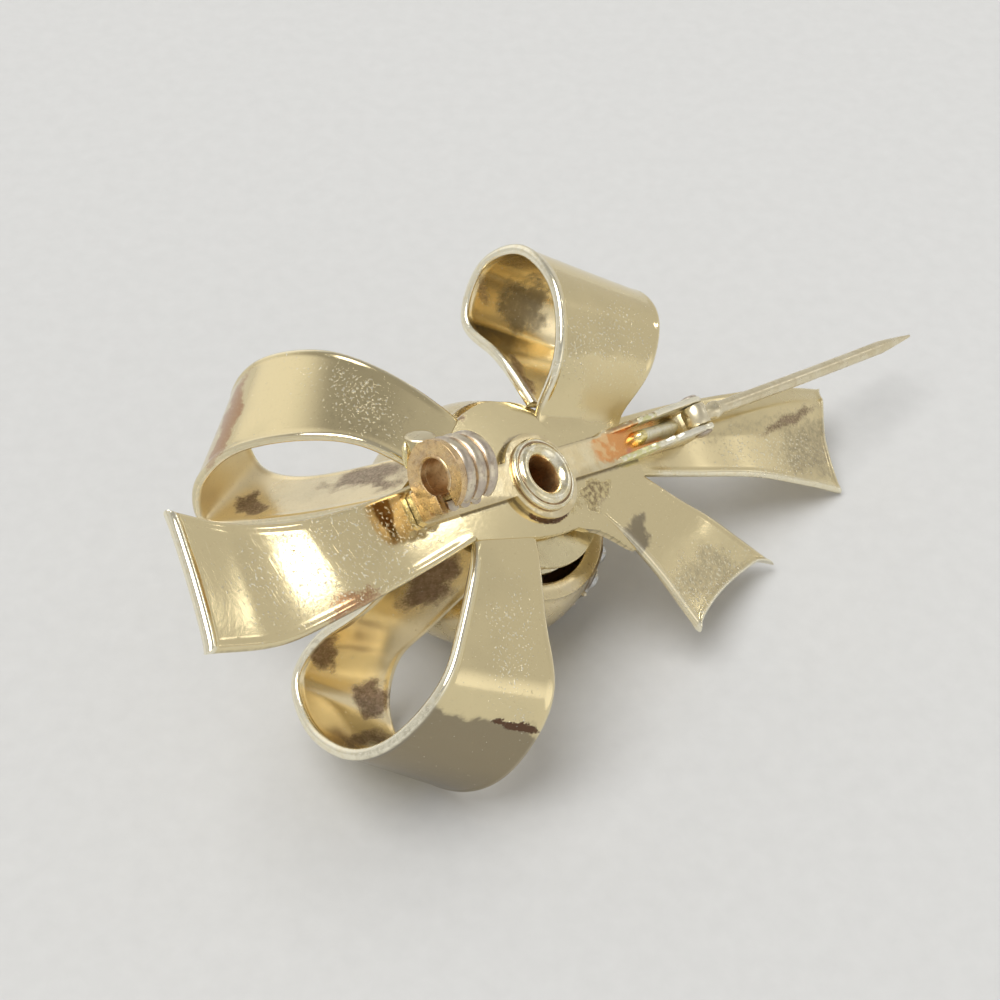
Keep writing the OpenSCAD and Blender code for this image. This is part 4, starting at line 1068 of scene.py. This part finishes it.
def make_plate():
    """The plate behind the knot, with the turned band under it and the sleeve around the post."""
    low, top, under = BAND_LOW, PLATE_TOP, PLATE_TOP - PLATE_T
    hole, flange = TUBE_R + PLATE_HOLE, TUBE_R + SLEEVE_FLANGE
    profile = [(hole, top), *[(PLATE_R + r, top + z) for r, z in PLATE_EDGE], (BAND_R, under),
               *[(BAND_R + r, low + z) for r, z in BAND_FOOT], (BAND_R - BAND_WALL, under),
               (hole, under)]
    points, faces = revolve(profile, 144)
    heights = [points[list(f), 2].mean() for f in faces]
    # The band's side takes the pink painted reflection
    numbers = [0 if z > top - PLATE_GOLD else 1 if z < low + LIP_GOLD else 2 for z in heights]
    sleeve = [(HOLE_R, top), (flange, top - 0.01), (flange, under),
              (TUBE_R + BAND_WALL, under - 0.1), (TUBE_R + BAND_WALL, low), (HOLE_R, low)]
    parts = [(points + (*PLATE_AT, 0), faces, numbers), (*revolve(sleeve, 64), 0)]
    fused("knot_plate", parts, "brooch", ("front_plate",), [PLATE, RIVET, BAND_REFLECTED_PINK])


# The rolled rim inside the dome's lip, by its distance out and its height from the rim
DOME_LIP = ((0.2, -0.36), (0.04, -0.28), (0, -0.16), (0.06, -0.05), (0.2, 0))
LIP_IN, OUTER_DROP, INNER_DROP, RIM_DROP, SHELL_HALF = 0.8, 0.25, 0.3, 0.4, 0.25


def make_dome():
    """The domed knot: a shell with a rolled rim, and the post that carries it."""
    outer, inner = (
        arc(np.linspace(math.asin((RIM_UP - drop) / (DOME_H - wall)), -math.pi / 2 + AXIS_R, 60),
            DOME_R - wall, DOME_H - wall)
        for wall, drop in ((0, OUTER_DROP), (DOME_WALL, INNER_DROP)))
    edge = outer[0][0]
    rim = [(inner[0][0] - LIP_IN + r, RIM_UP + z) for r, z in DOME_LIP]
    rim += [(edge - 0.16, RIM_UP), (edge - 0.03, RIM_UP - 0.06)]
    points, faces = revolve(outer + inner[::-1] + rim, 144)
    x, y, z = np.array([points[list(f)].mean(0) for f in faces]).T
    inside = (np.hypot(x, y) / (DOME_R - SHELL_HALF)) ** 2 + (z / (DOME_H - SHELL_HALF)) ** 2 < 1
    numbers = (inside & (z < RIM_UP - RIM_DROP)).astype(int)
    foot = DOME_AT[2] - DOME_H + DOME_WALL
    post = [(AXIS_R, foot), (POST_R, foot), (POST_R, BAND_LOW), (AXIS_R, BAND_LOW)]
    parts = [(points + DOME_AT, faces, numbers), (*revolve(post, 48), 1)]
    fused("knot_shell", parts, "brooch", ("knot_dome",), [KNOT, RIM])


def on_dome(around, slant, height):
    """A point over the dome: turned about the stripe, off its middle line, and above the shell."""
    a, s, h = (math.radians(angle) for angle in (around, slant, STRIPE_HEADING))
    way = spun((-math.cos(s) * math.sin(a), math.sin(s), -math.cos(s) * math.cos(a)), h, 0, 1)
    halves = (DOME_R, DOME_R, DOME_H)
    axis = unit(way / halves)
    return DOME_AT + way * halves + height * axis, axis


FACETS = 8
# A stone's rings of corners: share of its width, of its height, and half a step's turn
CUT = ((0.65, 0.02 / STONE_H, 0), (1, 0.45, 0), (0.55, 1, 0.5))
BEAD_R, BEAD_UP = 0.24, 0.26
# The strip: its rows along and across, its half width in stones, and its height inside and at its edges
STRIP_ROWS, STRIP_COLUMNS, STRIP_W, STRIP_H, STRIP_EDGE_H, STRIP_LOW = 110, 15, 1.62, 0.2, 0.1, 0.015
# Where the stones start, in degrees, then in stones how far apart the rows are, and the strip's ends
STONES_IN, ROW_PITCH, STRIP_END = 8, 1.02, 0.55


def make_stones():
    """The stripe: a metal strip with a bead at each corner of each stone, and the stones set in it."""
    pitch = math.degrees((STONE_W + STONE_GAP) / DOME_R)
    count = int((STRIPE_LAST - STRIPE_FIRST) // pitch) - 1
    rows = {row: [STRIPE_FIRST + STONES_IN + (i + shift) * pitch for i in range(count)]
            for row, shift in ((-1, 0.5), (0, 0), (1, 0.5))}
    k = range(FACETS)
    after = [(j + 1) % FACETS for j in k]
    stone_faces = [tuple(k)]
    for low in (0, FACETS):
        stone_faces += [(low + j, low + j + FACETS, low + after[j]) for j in k]
        stone_faces += [(low + after[j], low + j + FACETS, low + after[j] + FACETS) for j in k]
    stone_faces.append(tuple(j + 2 * FACETS for j in reversed(k)))
    parts = []
    for row, arounds in rows.items():
        slant = row * pitch * ROW_PITCH
        for around in arounds:
            seat, axis = on_dome(around, slant, 0)
            u = unit(np.cross(axis, (0.3, 0.2, 1)))
            across = np.array([u, np.cross(axis, u)])
            corners = []
            for wide, height, half in CUT:
                ring = arc([math.tau * (j + half) / FACETS for j in k], wide * STONE_W / 2)
                corners.append(seat + height * STONE_H * axis + np.array(ring) @ across)
            parts.append((np.concatenate(corners), stone_faces, 0))
            for side in (0.5, -0.5):
                points, faces = ball(BEAD_R, 1)
                middle = on_dome(around + 0.5 * pitch, slant + side * pitch, BEAD_UP)[0]
                parts.append((points + middle, faces, 1))
    first = min(min(a) for a in rows.values()) - STRIP_END * pitch
    last = max(max(a) for a in rows.values()) + STRIP_END * pitch
    slants = np.linspace(-STRIP_W * pitch, STRIP_W * pitch, STRIP_COLUMNS)
    heights = [STRIP_EDGE_H, *[STRIP_H] * (STRIP_COLUMNS - 2), STRIP_EDGE_H]
    over = [*zip(slants, heights), *[(s, STRIP_LOW) for s in slants[::-1]]]
    arounds = np.linspace(first, last, STRIP_ROWS)
    parts.append((*loft([[on_dome(around, s, height)[0] for s, height in over] for around in arounds]), 1))
    obj = fused("stone_stripe", parts, "brooch", ("stones",), [STONE, FITTING])
    obj.data.set_sharp_from_angle(angle=math.radians(STONE_ANGLE))


for ribbon_name in RIBBONS:
    make_ribbon(ribbon_name, SHEET)
for make in (make_hub, make_bar, make_hinge_pin, make_stem, make_catch_tube, make_catch_sleeve, make_rivet,
             make_plate, make_dome, make_stones):
    make()


# Floor, camera and light
FLOOR_HALF, FLOOR_ROUGH = 1.2, 0.8
PAPER, PAPER_LIGHT = (0.56, 0.56, 0.55), (0.62, 0.62, 0.61)
SENSOR, CLIP_START = 36, 0.005
# Lights by heading and height over the floor in degrees, power, roll and form. The overhead one is a
# wide sun, so that the floor is as bright far away as it is near.
LIGHTS = {
    "glint": ("AREA", (24.2, 25.4), 0.045, -55, {"shape": "RECTANGLE", "size": 0.07, "size_y": 0.028}),
    "spot": ("AREA", (32.5, 10.2), 0.0022, 0, {"shape": "RECTANGLE", "size": 0.012, "size_y": 0.02}),
    "low_spot": ("AREA", (20.3, 3.2), 0.003, 0, {"shape": "RECTANGLE", "size": 0.03, "size_y": 0.012}),
    "overhead": ("SUN", (200, 72), 2.3, 0, {"angle": math.radians(44)}),
}
LIGHT_AWAY = 0.6
# The studio's colour, its strengths low and high, and the heights between which they change
STUDIO, HORIZON, ZENITH, CHANGE = (1, 0.985, 0.96, 1), 0.62, 0.38, (0.45, 0.8)
# Soft glows low in the studio, which the loops reflect: heading and height, and strength
GLOWS = (((131, 22), 0.36), ((-38, 10), 0.5))
GLOW_WIDE, GLOW_CORE = 30, 6


def make_floor():
    mesh = bpy.data.meshes.new("floor")
    corners = [(x * FLOOR_HALF, y * FLOOR_HALF, 0) for x, y in ((-1, -1), (1, -1), (1, 1), (-1, 1))]
    mesh.from_pydata(corners, [], [(0, 1, 2, 3)])
    material, g = new_material("floor_paper")
    g.surface({"Base Color": g.mix(g.grain(0.6, 4), PAPER, PAPER_LIGHT), "Roughness": FLOOR_ROUGH})
    mesh.materials.append(material)
    floor = made("floor", mesh)


def make_camera():
    data = bpy.data.cameras.new("camera")
    data.sensor_width = SENSOR
    data.lens = SENSOR * LENS_PX / PICTURE
    data.clip_start = CLIP_START
    camera = made("camera", data)
    camera.matrix_world = Matrix.Translation(world(EYE)) @ Matrix((TURN @ VIEW.T).tolist()).to_4x4()
    bpy.context.scene.camera = camera


def out_way(way):
    """The way to a heading and a height over the floor."""
    a, b = (math.radians(angle) for angle in way)
    return Vector((math.cos(b) * math.cos(a), math.cos(b) * math.sin(a), math.sin(b)))


def make_lights():
    """A studio that is lighter near the horizon and darker overhead, with two soft glows and lights."""
    sky = bpy.data.worlds.new("studio")
    sky.use_nodes = True
    g = Nodes(sky.node_tree)
    way = g.add("TexCoord", {}, "Generated")
    strength = g.fade(g.add("SeparateXYZ", {0: way}, 2), *CHANGE, HORIZON, ZENITH)
    wide, core = (math.cos(math.radians(angle)) for angle in (GLOW_WIDE, GLOW_CORE))
    for at, glow in GLOWS:
        toward = g.vector("DOT_PRODUCT", way, out_way(at), "Value")
        strength = g.plus(strength, g.fade(toward, wide, core, 0, glow))
    g.fill(sky.node_tree.nodes["Background"], {"Color": STUDIO, "Strength": strength})
    bpy.context.scene.world = sky
    for name, (kind, at, power, roll, form) in LIGHTS.items():
        data = bpy.data.lights.new(name, kind)
        data.energy = power
        for key, value in form.items():
            setattr(data, key, value)
        light = made(name, data)
        out = out_way(at)
        light.location = Vector(RIVET_AT) + LIGHT_AWAY * out
        turn = (-out).to_track_quat("-Z", "Y") @ Quaternion((0, 0, 1), math.radians(roll))
        light.rotation_euler = turn.to_euler()
    bpy.context.scene.view_settings.view_transform = "Standard"


make_floor()
make_camera()
make_lights()
